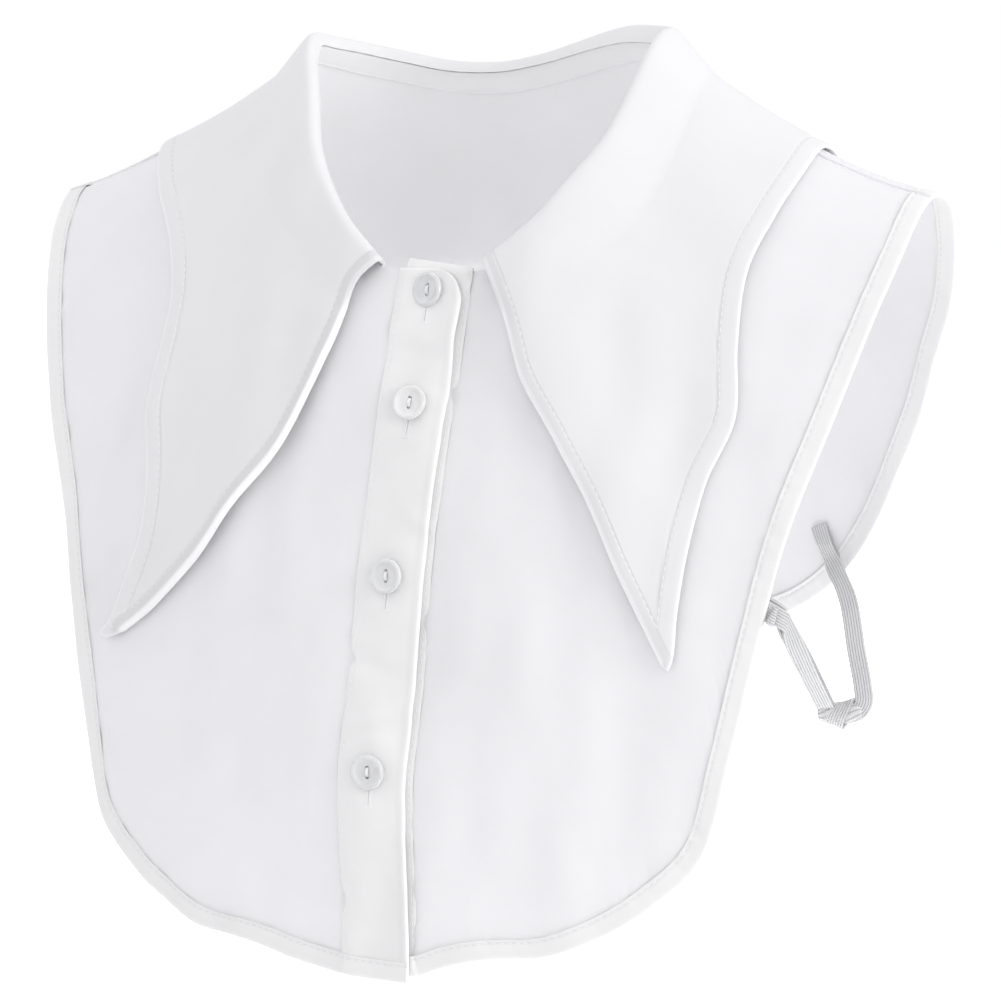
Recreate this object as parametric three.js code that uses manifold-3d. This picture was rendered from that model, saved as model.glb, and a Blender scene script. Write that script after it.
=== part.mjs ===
// A detachable bib collar: a buttoned cloth front and a shorter cloth back, joined at the
// shoulders, with a large pointed collar lying flat over both and an elastic tie at each side.
// It is shown as worn. Millimetres: +X is the wearer's left, the front faces -Y, +Z is up.
// The origin is the middle of the neck opening, level with the neck points of the shoulders.
//
// Every cloth piece is laid out on one body surface. A place on it is (x, s): x across the
// body, and s the way along the cloth from the shoulder ridge, positive down the front and
// negative down the back. A third number n is the height off that surface, outwards.

import * as THREE from "three";
import { mergeVertices } from "three/addons/utils/BufferGeometryUtils.js";
import Module from "manifold-3d";

const wasm = await Module();
wasm.setup();

// Body surface
const spanHalf = 161;         // shoulder tip to the middle
const neckHalf = 59;          // neck point to the middle
const neckPointRise = 3;      // neck points above the origin
const shoulderDrop = 51;      // shoulder tips below the neck points
const shoulderBow = 1.5;      // start slope of the shoulder over its mean slope
const frontDrop = 329;        // ridge to front hem, along the cloth
const backDrop = 240;         // ridge to back hem, along the cloth
const sideWrap = 45;          // how far the surface falls back at the front's outer corner
const frontTurn = { tight: 48, tightOver: 8, slow: 40, slowOver: 110 };   // degrees, mm
const backTurn = { tight: 26, tightOver: 8, slow: 60, slowOver: 68 };

// Cloth
const panelWall = 1.0;
const plyWall = 0.8;          // one ply of a binding, placket or strap
const collarWall = 1.6;       // two plies with interfacing
const gap = 0.3;              // between pieces that are sewn or lie together
const seamForward = 6;        // shoulder seam in front of the ridge

// Neck opening
const neckSpan = 62;          // fold line's reach to each side
const neckFront = 103;        // ridge to fold line, down the front
const neckBack = 39;          // ridge to fold line, down the back
const neckInset = 1.5;        // panels' neck edge outside the fold line
const facingWidth = 8.6;
const facingWall = 1.0;

// Collar
const collarSpan = 121;       // its reach to each side, on the shoulders
const collarFront = 195;      // ridge to the points, down the front
const collarBack = 114;       // ridge to its edge, down the back
const rollRise = 4.7;         // height of the rolled neck edge
const rollReach = 18;         // where the roll ends and the collar lies flat
const frontLift = 3.4;        // how far the front edges stand off the bib
const edgeLift = 1.2;         // the same at the outer edge
const waveHeight = 1.6;
const bedSlack = 0.5;         // air under the collar

// Edges and front opening
const bindWidth = 7;
const bindStop = 2;           // a front's binding ends beside its band
const placketWidth = 24;
const placketLead = 5;        // top button line to the wearer's left of the middle
const placketTop = 104;       // ridge to the top of the button band, along the cloth
const placketTail = 1.5;      // band below the front hem
const placketCorner = 11;     // rounded top corner
const placketSlot = 6;        // seam allowance of the panel inside the band
const underRise = 3.5;        // under band above the top band, at the neck
const underShift = 1.5;       // under band towards the wearer's left

// Buttons
const buttonRadius = 5.7;
const buttonThick = 2.6;
const buttonRim = 0.7;        // rim above the middle
const buttonHole = 0.8;       // hole radius
const buttonHoleApart = 2.8;
const threadRadius = 0.45;
const shankHeight = 0.9;      // button off the cloth
const slitAbove = 2.4;        // buttonhole above the button's middle
const slitBelow = 11.3;
const slitWidth = 1.6;
const buttonDrops = [111, 148, 203, 265];   // ridge to each button, along the cloth

// Elastic side ties
const elasticWidth = 6;
const elasticWall = 1.3;
const knotLength = 15;
const knotHeight = 8.5;
const knotThick = 6;

// Body surface.

const ridgeSlope = shoulderDrop * shoulderBow / (spanHalf - neckHalf);

function ridgeHeight(x) {
  const a = Math.abs(x);
  if (a < neckHalf) {
    return neckPointRise + ridgeSlope * neckHalf / 4 * (1 - (a / neckHalf) ** 4);
  }
  const q = (a - neckHalf) / (spanHalf - neckHalf);
  return neckPointRise - shoulderDrop * (shoulderBow * q - (shoulderBow - 1) * q * q);
}

// Reach and fall of the cloth along a section: it leaves the ridge level and turns down.
function sectionTable(turn) {
  const step = 1;
  const table = [[0, 0]];
  const angle = (a) => THREE.MathUtils.degToRad(
    turn.tight * (1 - Math.exp(-a / turn.tightOver)) + turn.slow * (1 - Math.exp(-a / turn.slowOver)));
  for (let a = step; a < frontDrop * 1.2; a += step) {
    const [reach, fall] = table[table.length - 1];
    const middle = angle(a - step / 2);
    table.push([reach + step * Math.cos(middle), fall + step * Math.sin(middle)]);
  }
  return (a) => {
    const i = Math.min(Math.floor(a / step), table.length - 2);
    const f = a / step - i;
    return [0, 1].map((k) => table[i][k] + (table[i + 1][k] - table[i][k]) * f);
  };
}

const frontSection = sectionTable(frontTurn);
const backSection = sectionTable(backTurn);

function bodyPoint(x, s) {
  const [reach, fall] = s >= 0 ? frontSection(s) : backSection(-s);
  const wrap = sideWrap * (x / spanHalf) ** 2 * (Math.abs(s) / frontDrop) ** 1.5;
  return new THREE.Vector3(x, s >= 0 ? wrap - reach : reach - wrap, ridgeHeight(x) - fall);
}

function bodyNormal(x, s) {
  const e = 1.5;
  const along = bodyPoint(x, s + e).sub(bodyPoint(x, s - e));
  const across = bodyPoint(x + e, s).sub(bodyPoint(x - e, s));
  return along.cross(across).normalize();
}

function onBody(x, s, n) {
  return bodyPoint(x, s).addScaledVector(bodyNormal(x, s), n);
}

const smooth = (low, high, a) => THREE.MathUtils.smoothstep(a, low, high);

// Front opening: the wearer's right front laps over the left one.

// Sideways sway of the button line, as shares of the front drop and of the band's width
const placketSway = [
  { drop: 0.30, shift: 0.16 },
  { drop: 0.42, shift: 0.13 },
  { drop: 0.52, shift: 0.06 },
  { drop: 0.62, shift: -0.02 },
  { drop: 0.73, shift: -0.06 },
  { drop: 0.81, shift: -0.12 },
  { drop: 0.87, shift: -0.07 },
  { drop: 0.95, shift: 0.03 },
  { drop: 1.01, shift: 0.04 },
];

function planCurve(points) {
  const places = points.map(([x, s, rise = 0]) => new THREE.Vector3(x, s, rise));
  return new THREE.CatmullRomCurve3(places, false, "centripetal");
}

const swayCurve = planCurve(placketSway.map((row) => [row.drop * frontDrop, row.shift * placketWidth]));

function buttonLine(s) {
  let low = 0;
  let high = 1;
  for (let i = 0; i < 30; i += 1) {
    const middle = (low + high) / 2;
    if (swayCurve.getPoint(middle).x < s) low = middle;
    else high = middle;
  }
  return placketLead + swayCurve.getPoint(low).y;
}

const bandHalf = plyWall + 1.5 * gap + panelWall / 2;     // half the thickness of a band on a panel
const lap = bandHalf + gap / 2;                     // each front's shift where the bands lie

// Height of the lapped fronts: up on the wearer's right, down on the left, none away from it
function lapHeight(x, s, side) {
  const away = Math.abs(x - buttonLine(s)) - placketWidth / 2;
  const front = smooth(0, placketTop * 0.7, s);
  return -side * lap * front * (1 - smooth(placketWidth * 0.15, placketWidth * 1.6, away));
}

const onFront = (x, s, n, side) => onBody(x, s, n + lapHeight(x, s, side));

// Outlines, each a table of shares.

// Bound edge of a front from the shoulder to the hem's middle
const frontOutline = [
  { drop: 0.019, out: 0.993 },
  { drop: 0.090, out: 0.976 },
  { drop: 0.182, out: 0.938 },
  { drop: 0.280, out: 0.891 },
  { drop: 0.410, out: 0.820 },
  { drop: 0.523, out: 0.776 },
  { drop: 0.638, out: 0.733 },
  { drop: 0.742, out: 0.683 },
  { drop: 0.815, out: 0.590 },
  { drop: 0.891, out: 0.466 },
  { drop: 0.951, out: 0.342 },
  { drop: 0.989, out: 0.175 },
];

// Bound edge of the back from the shoulder to the hem's middle
const backOutline = [
  { drop: 0.129, out: 0.969 },
  { drop: 0.242, out: 0.925 },
  { drop: 0.354, out: 0.863 },
  { drop: 0.463, out: 0.807 },
  { drop: 0.629, out: 0.702 },
  { drop: 0.717, out: 0.634 },
  { drop: 0.813, out: 0.534 },
  { drop: 0.904, out: 0.404 },
  { drop: 0.971, out: 0.236 },
  { drop: 1.000, out: 0.060 },
];

// Fold line round the neck from the wearer's right end to the left end; down the back is minus.
// The roll stands higher where rise is over 1.
const foldLine = [
  { across: -0.145, drop: 1.000 },
  { across: -0.400, drop: 0.855 },
  { across: -0.565, drop: 0.718 },
  { across: -0.677, drop: 0.583 },
  { across: -0.800, drop: 0.360 },
  { across: -0.935, drop: 0.136 },
  { across: -1.000, drop: -0.050 },
  { across: -0.960, drop: -0.300 },
  { across: -0.806, drop: -0.670 },
  { across: -0.550, drop: -0.950 },
  { across: -0.250, drop: -1.020 },
  { across: 0.030, drop: -0.950, rise: 1.05 },
  { across: 0.300, drop: -0.820, rise: 1.25 },
  { across: 0.600, drop: -0.630, rise: 1.50 },
  { across: 0.840, drop: -0.440, rise: 1.45 },
  { across: 0.980, drop: -0.180, rise: 1.30 },
  { across: 1.020, drop: 0.050, rise: 1.15 },
  { across: 1.020, drop: 0.250 },
  { across: 0.952, drop: 0.485 },
  { across: 0.820, drop: 0.680 },
  { across: 0.690, drop: 0.825 },
  { across: 0.435, drop: 0.985 },
];

// Collar's outer edge from the wearer's right point, round the back, to the left point
const collarOutline = [
  { across: -0.884, drop: 0.985 },
  { across: -0.818, drop: 0.908 },
  { across: -0.777, drop: 0.810 },
  { across: -0.785, drop: 0.690 },
  { across: -0.806, drop: 0.590 },
  { across: -0.785, drop: 0.470 },
  { across: -0.785, drop: 0.390 },
  { across: -0.835, drop: 0.272 },
  { across: -0.926, drop: 0.149 },
  { across: -1.000, drop: 0.010 },
  { across: -0.975, drop: -0.180 },
  { across: -0.900, drop: -0.400 },
  { across: -0.760, drop: -0.640 },
  { across: -0.560, drop: -0.840 },
  { across: -0.300, drop: -0.965 },
  { across: 0.000, drop: -1.000 },
  { across: 0.300, drop: -0.965 },
  { across: 0.560, drop: -0.840 },
  { across: 0.760, drop: -0.640 },
  { across: 0.900, drop: -0.400 },
  { across: 0.980, drop: -0.180 },
  { across: 1.000, drop: 0.050 },
  { across: 0.960, drop: 0.174 },
  { across: 0.915, drop: 0.300 },
  { across: 0.920, drop: 0.420 },
  { across: 0.940, drop: 0.530 },
  { across: 0.880, drop: 0.660 },
  { across: 0.845, drop: 0.790 },
  { across: 0.822, drop: 0.930 },
  { across: 0.810, drop: 1.000 },
];

// Bulge of each front edge of the collar towards the opening, as shares of its own length
const frontBulge = [
  { along: 0.00, right: 0.000, left: 0.000 },
  { along: 0.08, right: 0.002, left: 0.010 },
  { along: 0.20, right: 0.066, left: 0.030 },
  { along: 0.34, right: 0.130, left: 0.060 },
  { along: 0.50, right: 0.182, left: 0.036 },
  { along: 0.64, right: 0.174, left: 0.008 },
  { along: 0.78, right: 0.136, left: 0.006 },
  { along: 0.92, right: 0.058, left: 0.003 },
  { along: 1.00, right: 0.000, left: 0.000 },
];

// Section of the rolled neck edge, as shares of the roll's reach and rise
const rollSection = [
  { out: -0.010, up: 0.085 },
  { out: -0.040, up: 0.470 },
  { out: 0.015, up: 0.870 },
  { out: 0.145, up: 1.000 },
  { out: 0.330, up: 0.870 },
  { out: 0.610, up: 0.660 },
];

const frontCurves = {};
for (const side of [-1, 1]) {
  const seamX = (s) => buttonLine(s) + (side < 0 ? 0 : underShift) + side * (placketWidth / 2 - placketSlot);
  const rows = frontOutline.map((row) => [side * row.out * spanHalf, row.drop * frontDrop]);
  rows[0][1] = seamForward + gap / 2;
  rows.push([seamX(frontDrop), frontDrop]);
  frontCurves[side] = { outline: planCurve(rows.reverse()), seamX };
}

const backRows = (side) => backOutline.map((row) => [side * row.out * spanHalf, -row.drop * backDrop]);
const backStart = (side) => [
  [side * frontOutline[0].out * spanHalf, seamForward - gap / 2],
  [side * spanHalf, -seamForward],
];
const backHalf = (side) => [...backStart(side), ...backRows(side)];
const backCurve = planCurve([...backHalf(-1), ...backHalf(1).reverse()]);

const foldCurve = planCurve(foldLine.map((row) => [
  row.across * neckSpan,
  row.drop * (row.drop > 0 ? neckFront : neckBack),
  row.rise ?? 1,
]));

const collarCurve = planCurve(collarOutline.map((row) => [
  row.across * collarSpan,
  row.drop * (row.drop > 0 ? collarFront : collarBack),
]));

// A place on a plan curve, moved sideways in the cloth by a distance, left of its direction
function besideCurve(curve, u, distance) {
  const p = curve.getPointAt(u);
  const t = curve.getTangentAt(u);
  const step = 0.5;
  const q = onBody(p.x - t.y * step, p.y + t.x * step, 0);
  const scale = q.distanceTo(onBody(p.x, p.y, 0)) / step;
  return [p.x - t.y * distance / scale, p.y + t.x * distance / scale];
}

// The share of a curve's length at which a test first turns true
function firstShare(test) {
  const steps = 400;
  let i = 0;
  while (i < steps && !test(i / steps)) i += 1;
  let low = Math.max(i - 1, 0) / steps;
  let high = i / steps;
  for (let k = 0; k < 30; k += 1) {
    const middle = (low + high) / 2;
    if (test(middle)) high = middle;
    else low = middle;
  }
  return high;
}

const seamRight = firstShare((u) => foldCurve.getPointAt(u).y < seamForward);
const seamLeft = 1 - firstShare((u) => foldCurve.getPointAt(1 - u).y < seamForward);

// Solids.

const object = new THREE.Group();

function addMesh(name, geometry, color, roughness = 0.85) {
  const mesh = new THREE.Mesh(geometry, new THREE.MeshStandardMaterial({ color, roughness, metalness: 0 }));
  mesh.name = name;
  object.add(mesh);
  return mesh;
}

function geometryOf(points, triangles) {
  const geometry = new THREE.BufferGeometry();
  const places = points.flatMap((p) => [p.x, p.y, p.z]);
  geometry.setAttribute("position", new THREE.Float32BufferAttribute(places, 3));
  geometry.setIndex(triangles.flat());
  let volume = 0;
  for (const [a, b, c] of triangles) {
    volume += points[a].dot(new THREE.Vector3().crossVectors(points[b], points[c]));
  }
  if (volume < 0) geometry.setIndex(triangles.flatMap(([a, b, c]) => [a, c, b]));
  return geometry;
}

// A cloth wall: two faces over the same grid, joined round their four sides
function wallGeometry(us, vs, place) {
  const points = [];
  const id = (k, i, j) => (k * us.length + i) * vs.length + j;
  for (const face of [1, -1]) {
    for (const u of us) for (const v of vs) points.push(place(u, v, face));
  }
  const triangles = [];
  const quad = (a, b, c, d) => triangles.push([a, b, c], [a, c, d]);
  const nu = us.length - 1;
  const nv = vs.length - 1;
  for (let i = 0; i < nu; i += 1) {
    for (let j = 0; j < nv; j += 1) {
      quad(id(0, i, j), id(0, i + 1, j), id(0, i + 1, j + 1), id(0, i, j + 1));
      quad(id(1, i, j), id(1, i, j + 1), id(1, i + 1, j + 1), id(1, i + 1, j));
    }
    quad(id(0, i + 1, 0), id(0, i, 0), id(1, i, 0), id(1, i + 1, 0));
    quad(id(0, i, nv), id(0, i + 1, nv), id(1, i + 1, nv), id(1, i, nv));
  }
  for (let j = 0; j < nv; j += 1) {
    quad(id(0, 0, j), id(0, 0, j + 1), id(1, 0, j + 1), id(1, 0, j));
    quad(id(0, nu, j + 1), id(0, nu, j), id(1, nu, j), id(1, nu, j + 1));
  }
  return geometryOf(points, triangles);
}

// A strip: one section outline, set at each station and closed at both ends
function stripGeometry(sections, flat) {
  const count = flat.length;
  const points = sections.flat();
  const triangles = [];
  for (let i = 0; i + 1 < sections.length; i += 1) {
    for (let j = 0; j < count; j += 1) {
      const a = i * count + j;
      const b = i * count + (j + 1) % count;
      triangles.push([a, b, b + count], [a, b + count, a + count]);
    }
  }
  const outline = flat.map(([e, n]) => new THREE.Vector2(e, n));
  const cap = THREE.ShapeUtils.triangulateShape(outline, []);
  const last = (sections.length - 1) * count;
  const turn = THREE.ShapeUtils.isClockWise(outline);
  for (const [a, b, c] of cap) {
    const first = [a, b, c];
    const flipped = [a, c, b];
    triangles.push(turn ? first : flipped, (turn ? flipped : first).map((k) => last + k));
  }
  return geometryOf(points, triangles);
}

function evenly(count, low = 0, high = 1) {
  return Array.from({ length: count + 1 }, (_, i) => low + (high - low) * i / count);
}

// Shares of a length from 0 to 1 that crowd round given places, where the cloth turns tightly
function crowded(count, places, reach, times) {
  const weight = (u) => 1 + times * places.reduce((sum, c) => sum + Math.exp(-(((u - c) / reach) ** 2)), 0);
  const fine = evenly(2000);
  const sums = [0];
  for (let i = 1; i < fine.length; i += 1) sums.push(sums[i - 1] + weight(fine[i]));
  const total = sums[sums.length - 1];
  return evenly(count).map((q) => fine[Math.min(sums.findIndex((sum) => sum >= q * total - 1e-9), 2000)]);
}

function toSolid(geometry) {
  const bare = geometry.clone();
  bare.deleteAttribute("normal");
  bare.deleteAttribute("uv");
  const merged = mergeVertices(bare, 1e-4);
  return new wasm.Manifold(new wasm.Mesh({
    numProp: 3,
    vertProperties: merged.attributes.position.array,
    triVerts: Uint32Array.from(merged.index.array),
  }));
}

function fromSolid(solid) {
  const mesh = solid.getMesh();
  const geometry = new THREE.BufferGeometry();
  geometry.setAttribute("position", new THREE.Float32BufferAttribute(mesh.vertProperties, 3));
  geometry.setIndex(Array.from(mesh.triVerts));
  return geometry;
}

const white = { panel: 0xe9e9ed, band: 0xf1f1f2, collar: 0xeff0f3, elastic: 0xdfe0e2 };

// The two fronts and the back: single cloth between the neck edge and the bound edge.

const edgeInset = plyWall + gap;    // the cloth's own edge inside the outer face of its binding
const panelRows = 7;

// The rows of a panel: under the neck facing, evenly across, and under the binding
function panelPoint(foldShare, curve, u, inward, row) {
  if (row === 0) return besideCurve(foldCurve, foldShare, -neckInset);
  if (row === panelRows + 2) return besideCurve(curve, u, inward * edgeInset);
  const neck = besideCurve(foldCurve, foldShare, -facingWidth);
  const edge = besideCurve(curve, u, inward * bindWidth);
  return [0, 1].map((k) => THREE.MathUtils.lerp(neck[k], edge[k], (row - 1) / panelRows));
}

const rows = Array.from({ length: panelRows + 3 }, (_, i) => i);

// The front and the back meet at the same places along the shoulder seam
function seamPlace(side, row) {
  const neck = Math.abs(foldCurve.getPointAt(side < 0 ? seamRight : seamLeft).x);
  const tip = frontOutline[0].out * spanHalf;
  if (row === 0) return side * (neck + neckInset);
  if (row === panelRows + 2) return side * (tip - edgeInset);
  return side * THREE.MathUtils.lerp(neck + facingWidth, tip - bindWidth, (row - 1) / panelRows);
}

const frontShares = {};

for (const side of [-1, 1]) {
  const { outline, seamX } = frontCurves[side];
  const bandEdge = (s) => buttonLine(s) + (side < 0 ? 0 : underShift) + side * (placketWidth / 2 + bindStop);
  const start = firstShare((u) => {
    const p = outline.getPointAt(u);
    return side * (p.x - bandEdge(p.y)) > 0;
  });
  const shares = crowded(24, [1], 0.06, 4).map((q) => start + (1 - start) * q);
  frontShares[side] = shares;
  const end = side < 0 ? 0 : 1;
  const seam = side < 0 ? seamRight : seamLeft;
  const neckDrop = placketTop + neckInset;
  const place = (u, row, face) => {
    const foldShare = THREE.MathUtils.lerp(end, seam, Math.max((u - start) / (1 - start), 0));
    let [x, s] = panelPoint(foldShare, outline, Math.max(u, start), -side, row);
    const low = panelPoint(end, outline, start, -side, 0)[1];
    const down = (s - low) / (frontDrop - low);
    if (u === 0) {
      const hem = frontDrop - edgeInset;
      s = THREE.MathUtils.lerp(neckDrop, hem, (s - low) / (hem - low));
      x = seamX(s);
    } else {
      const sway = buttonLine(s) - THREE.MathUtils.lerp(buttonLine(neckDrop), buttonLine(frontDrop), down);
      if (row <= panelRows) x += sway * (1 - smooth(start, 0.2, u));
    }
    if (u === 1) [x, s] = [seamPlace(side, row), seamForward + gap / 2];
    return onFront(x, s, face * panelWall / 2, side);
  };
  addMesh(side < 0 ? "front_right" : "front_left", wallGeometry([0, ...shares], rows, place), white.panel);
}

const backShares = crowded(36, [0, 1], 0.03, 6);
addMesh("back", wallGeometry(backShares, rows, (u, row, face) => {
  const atSeam = u === 0 || u === 1;
  const [x, s] = atSeam
    ? [seamPlace(2 * u - 1, row), seamForward - gap / 2]
    : panelPoint(seamRight + (seamLeft - seamRight) * u, backCurve, u, 1, row);
  return onBody(x, s, face * panelWall / 2);
}), white.panel);

// Bindings: a folded strip round each bound edge, open on the cloth's side.

const legInner = panelWall / 2 + gap;
const legOuter = legInner + plyWall;
const bindSection = [
  [0, -legOuter], [bindWidth, -legOuter], [bindWidth, -legInner], [plyWall, -legInner],
  [plyWall, legInner], [bindWidth, legInner], [bindWidth, legOuter], [0, legOuter],
];

function addBinding(name, curve, shares, inward, lift) {
  const sections = shares.map((u) => bindSection.map(([e, n]) => {
    const [x, s] = besideCurve(curve, u, inward * e);
    return onBody(x, s, n + lift(x, s));
  }));
  addMesh(name, stripGeometry(sections, bindSection), white.band);
}

for (const side of [-1, 1]) {
  const name = side < 0 ? "binding_front_right" : "binding_front_left";
  addBinding(name, frontCurves[side].outline, frontShares[side], -side, (x, s) => lapHeight(x, s, side));
}
addBinding("binding_back", backCurve, backShares, 1, () => 0);

// Button bands: a folded strip on each front edge, the top one with four slits.

function bandSection(width, slotAtLeft) {
  const outline = [
    [0, -bandHalf], [width, -bandHalf], [width, bandHalf], [0, bandHalf],
    [0, bandHalf - plyWall], [placketSlot + 2 * gap, bandHalf - plyWall],
    [placketSlot + 2 * gap, plyWall - bandHalf], [0, plyWall - bandHalf],
  ];
  return slotAtLeft ? outline : outline.map(([e, n]) => [placketWidth - e, n]);
}

// The top corner's rounding: the band's width at a place below its top
function cornerWidth(below) {
  const q = Math.min(below / placketCorner, 1);
  return placketWidth - placketCorner * (1 - Math.sqrt(1 - (1 - q) ** 2));
}

const topStations = [0, 0.06, 0.16, 0.32, 0.6, 1].map((q) => placketTop + q * placketCorner);
const bandEnd = frontDrop + placketTail;
const bandStations = [...topStations, ...evenly(20, placketTop + placketCorner, bandEnd).slice(1)];

const topBand = stripGeometry(bandStations.map((s) => bandSection(cornerWidth(s - placketTop), true).map(
  ([e, n]) => onBody(buttonLine(s) - placketWidth / 2 + e, s, n + lap))), bandSection(placketWidth, true));

let slitBand = toSolid(topBand);
for (const drop of buttonDrops) {
  const slit = [[-0.5, -1], [0.5, -1], [0.5, 1], [-0.5, 1]];
  const sections = evenly(3, drop - slitAbove, drop + slitBelow).map((s) => slit.map(
    ([e, n]) => onBody(buttonLine(s) + e * slitWidth, s, lap + n * (bandHalf + 1))));
  slitBand = slitBand.subtract(toSolid(stripGeometry(sections, slit)));
}
addMesh("placket_upper", fromSolid(slitBand), white.band);

const underStations = evenly(22, placketTop - underRise, bandEnd - 2 * placketTail);
const underSection = bandSection(placketWidth, false);
const underBand = stripGeometry(underStations.map((s) => underSection.map(
  ([e, n]) => onBody(buttonLine(s) + underShift - placketWidth / 2 + e, s, n - lap))), underSection);
addMesh("placket_under", underBand, white.band);

// Buttons with two holes, and the thread that holds each to the under band.

const buttonProfile = [
  [0, 0], [0.62, 0], [0.92, 0.14], [1, 0.45], [0.96, 0.85], [0.86, 1], [0.7, 0.92], [0.6, 0.74], [0, 0.74],
].map(([r, h]) => new THREE.Vector2(r * buttonRadius, h >= 0.74
  ? buttonThick - buttonRim + (h - 0.74) / 0.26 * buttonRim
  : h / 0.74 * (buttonThick - buttonRim)));

function rod(radius, from, to, sides) {
  const length = from.distanceTo(to);
  const geometry = new THREE.CylinderGeometry(radius, radius, length, sides);
  const axis = new THREE.Vector3().subVectors(to, from).normalize();
  geometry.applyQuaternion(new THREE.Quaternion().setFromUnitVectors(new THREE.Vector3(0, 1, 0), axis));
  const middle = new THREE.Vector3().addVectors(from, to).multiplyScalar(0.5);
  return geometry.translate(middle.x, middle.y, middle.z);
}

const shankFoot = bandHalf * 2 + gap;      // top band and gap, under the button's seat
const middleThick = buttonThick - buttonRim;

buttonDrops.forEach((drop, index) => {
  const x = buttonLine(drop);
  const seat = onBody(x, drop, lap + bandHalf + shankHeight);
  const frame = new THREE.Matrix4();
  const out = bodyNormal(x, drop);
  const across = new THREE.Vector3(1, 0, 0).addScaledVector(out, -out.x).normalize();
  frame.makeBasis(across, new THREE.Vector3().crossVectors(out, across), out).setPosition(seat);

  const disc = new THREE.LatheGeometry(buttonProfile, 16).rotateX(Math.PI / 2);
  let button = toSolid(disc);
  for (const k of [-0.5, 0.5]) {
    const hole = rod(buttonHole, new THREE.Vector3(0, k * buttonHoleApart, -1),
      new THREE.Vector3(0, k * buttonHoleApart, buttonThick + 1), 6);
    button = button.subtract(toSolid(hole));
  }
  const face = fromSolid(button).applyMatrix4(frame);
  addMesh(`button_${index + 1}`, face, 0xe6e8ea, 0.25);

  // The thread: a shank through the slit, a post in each hole and a bar over the face.
  const bar = middleThick + gap + threadRadius;
  const foot = -gap - threadRadius;
  const reach = buttonHoleApart / 2;
  const low = gap - shankHeight - shankFoot;
  const pieces = [
    rod(threadRadius, new THREE.Vector3(0, -reach, bar), new THREE.Vector3(0, reach, bar), 5),
    rod(threadRadius, new THREE.Vector3(0, -reach, foot), new THREE.Vector3(0, -reach, bar), 5),
    rod(threadRadius, new THREE.Vector3(0, reach, foot), new THREE.Vector3(0, reach, bar), 5),
    rod(threadRadius, new THREE.Vector3(0, -reach, foot), new THREE.Vector3(0, reach, foot), 5),
    rod(threadRadius, new THREE.Vector3(0, 0, foot), new THREE.Vector3(0, 0, low), 5),
  ];
  const thread = pieces.map(toSolid).reduce((a, b) => a.add(b));
  addMesh(`button_thread_${index + 1}`, fromSolid(thread).applyMatrix4(frame), 0xf4f4f4, 0.7);
});

// Collar: a two-ply leaf from the rolled neck edge to its outer edge.

const bedHeight = panelWall / 2 + gap + collarWall / 2 + bedSlack;

function bulgeAt(v, key) {
  const rows = frontBulge;
  const slope = (i) => {
    const a = rows[Math.max(i - 1, 0)];
    const b = rows[Math.min(i + 1, rows.length - 1)];
    return (b[key] - a[key]) / (b.along - a.along);
  };
  const i = Math.max(rows.findIndex((row) => row.along >= v), 1);
  const a = rows[i - 1];
  const b = rows[i];
  const step = b.along - a.along;
  const q = Math.min(Math.max((v - a.along) / step, 0), 1);
  const ease = q * q * (3 - 2 * q);
  const lean = step * q * (1 - q) * ((1 - q) * slope(i - 1) - q * slope(i));
  return a[key] + (b[key] - a[key]) * ease + lean;
}

function collarPlan(u, v) {
  const neck = foldCurve.getPointAt(u);
  const edge = collarCurve.getPointAt(u);
  const length = Math.hypot(edge.x - neck.x, edge.y - neck.y);
  const key = u < 0.5 ? "right" : "left";
  const nearEnd = 1 - smooth(0, 0.16, Math.min(u, 1 - u));
  const bulge = bulgeAt(Math.max(v, 0), key) * length * nearEnd;
  const dx = (edge.x - neck.x) / length;
  const ds = (edge.y - neck.y) / length;
  const sideways = u < 0.5 ? 1 : -1;
  const x = neck.x + dx * length * v + sideways * ds * bulge;
  const s = neck.y + ds * length * v - sideways * dx * bulge;
  return { x, s, length, rise: neck.z };
}

// Height of the collar's middle off the body away from its roll
function collarHeight(u, v) {
  const end = Math.min(u, 1 - u);
  const along = Math.max(Math.sin(Math.PI * THREE.MathUtils.clamp(v, 0, 1)), 0) ** 0.8;
  const front = frontLift * (1 - smooth(0, 0.09, end)) * along;
  const outer = edgeLift * smooth(0.55, 1, v);
  const wave = waveHeight * (1 - smooth(0.16, 0.3, end)) * Math.sin(end * 40) ** 2 * smooth(0.3, 1, v);
  return bedHeight + front + outer + wave;
}

const rollPath = new THREE.CatmullRomCurve3([
  ...rollSection.map((row) => new THREE.Vector3(row.out * rollReach, row.up * rollRise, 0)),
  new THREE.Vector3(rollReach, bedHeight, 0),
]);
const rollShare = 0.45;

function collarPlace(u, w, face) {
  let e;
  let n;
  let tilt = [0, 1];
  const { length, rise } = collarPlan(u, 0);
  if (w < rollShare) {
    const t = w / rollShare;
    const p = rollPath.getPoint(t);
    const d = rollPath.getTangent(t);
    e = p.x;
    n = p.y * THREE.MathUtils.lerp(rise, 1, smooth(0.3, 1, t))
      + (collarHeight(u, e / length) - bedHeight) * smooth(0.3, 1, t);
    tilt = [-d.y, d.x];
  } else {
    e = rollReach + (length - rollReach) * (w - rollShare) / (1 - rollShare);
    n = collarHeight(u, e / length);
  }
  e += tilt[0] * face * collarWall / 2;
  n += tilt[1] * face * collarWall / 2;
  const { x, s } = collarPlan(u, e / length);
  return onFront(x, s, n, x < buttonLine(s) ? -1 : 1);
}

const ridgeShares = [
  firstShare((u) => collarCurve.getPointAt(u).y < 0),
  1 - firstShare((u) => collarCurve.getPointAt(1 - u).y < 0),
];
const collarShares = crowded(54, ridgeShares, 0.03, 3);
const collarAcross = [...evenly(5, 0, rollShare), ...evenly(6, rollShare, 1).slice(1)];
addMesh("collar", wallGeometry(collarShares, collarAcross, collarPlace), white.collar);

// Neck facing: a narrow strip inside the bib, under the roll.

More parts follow.
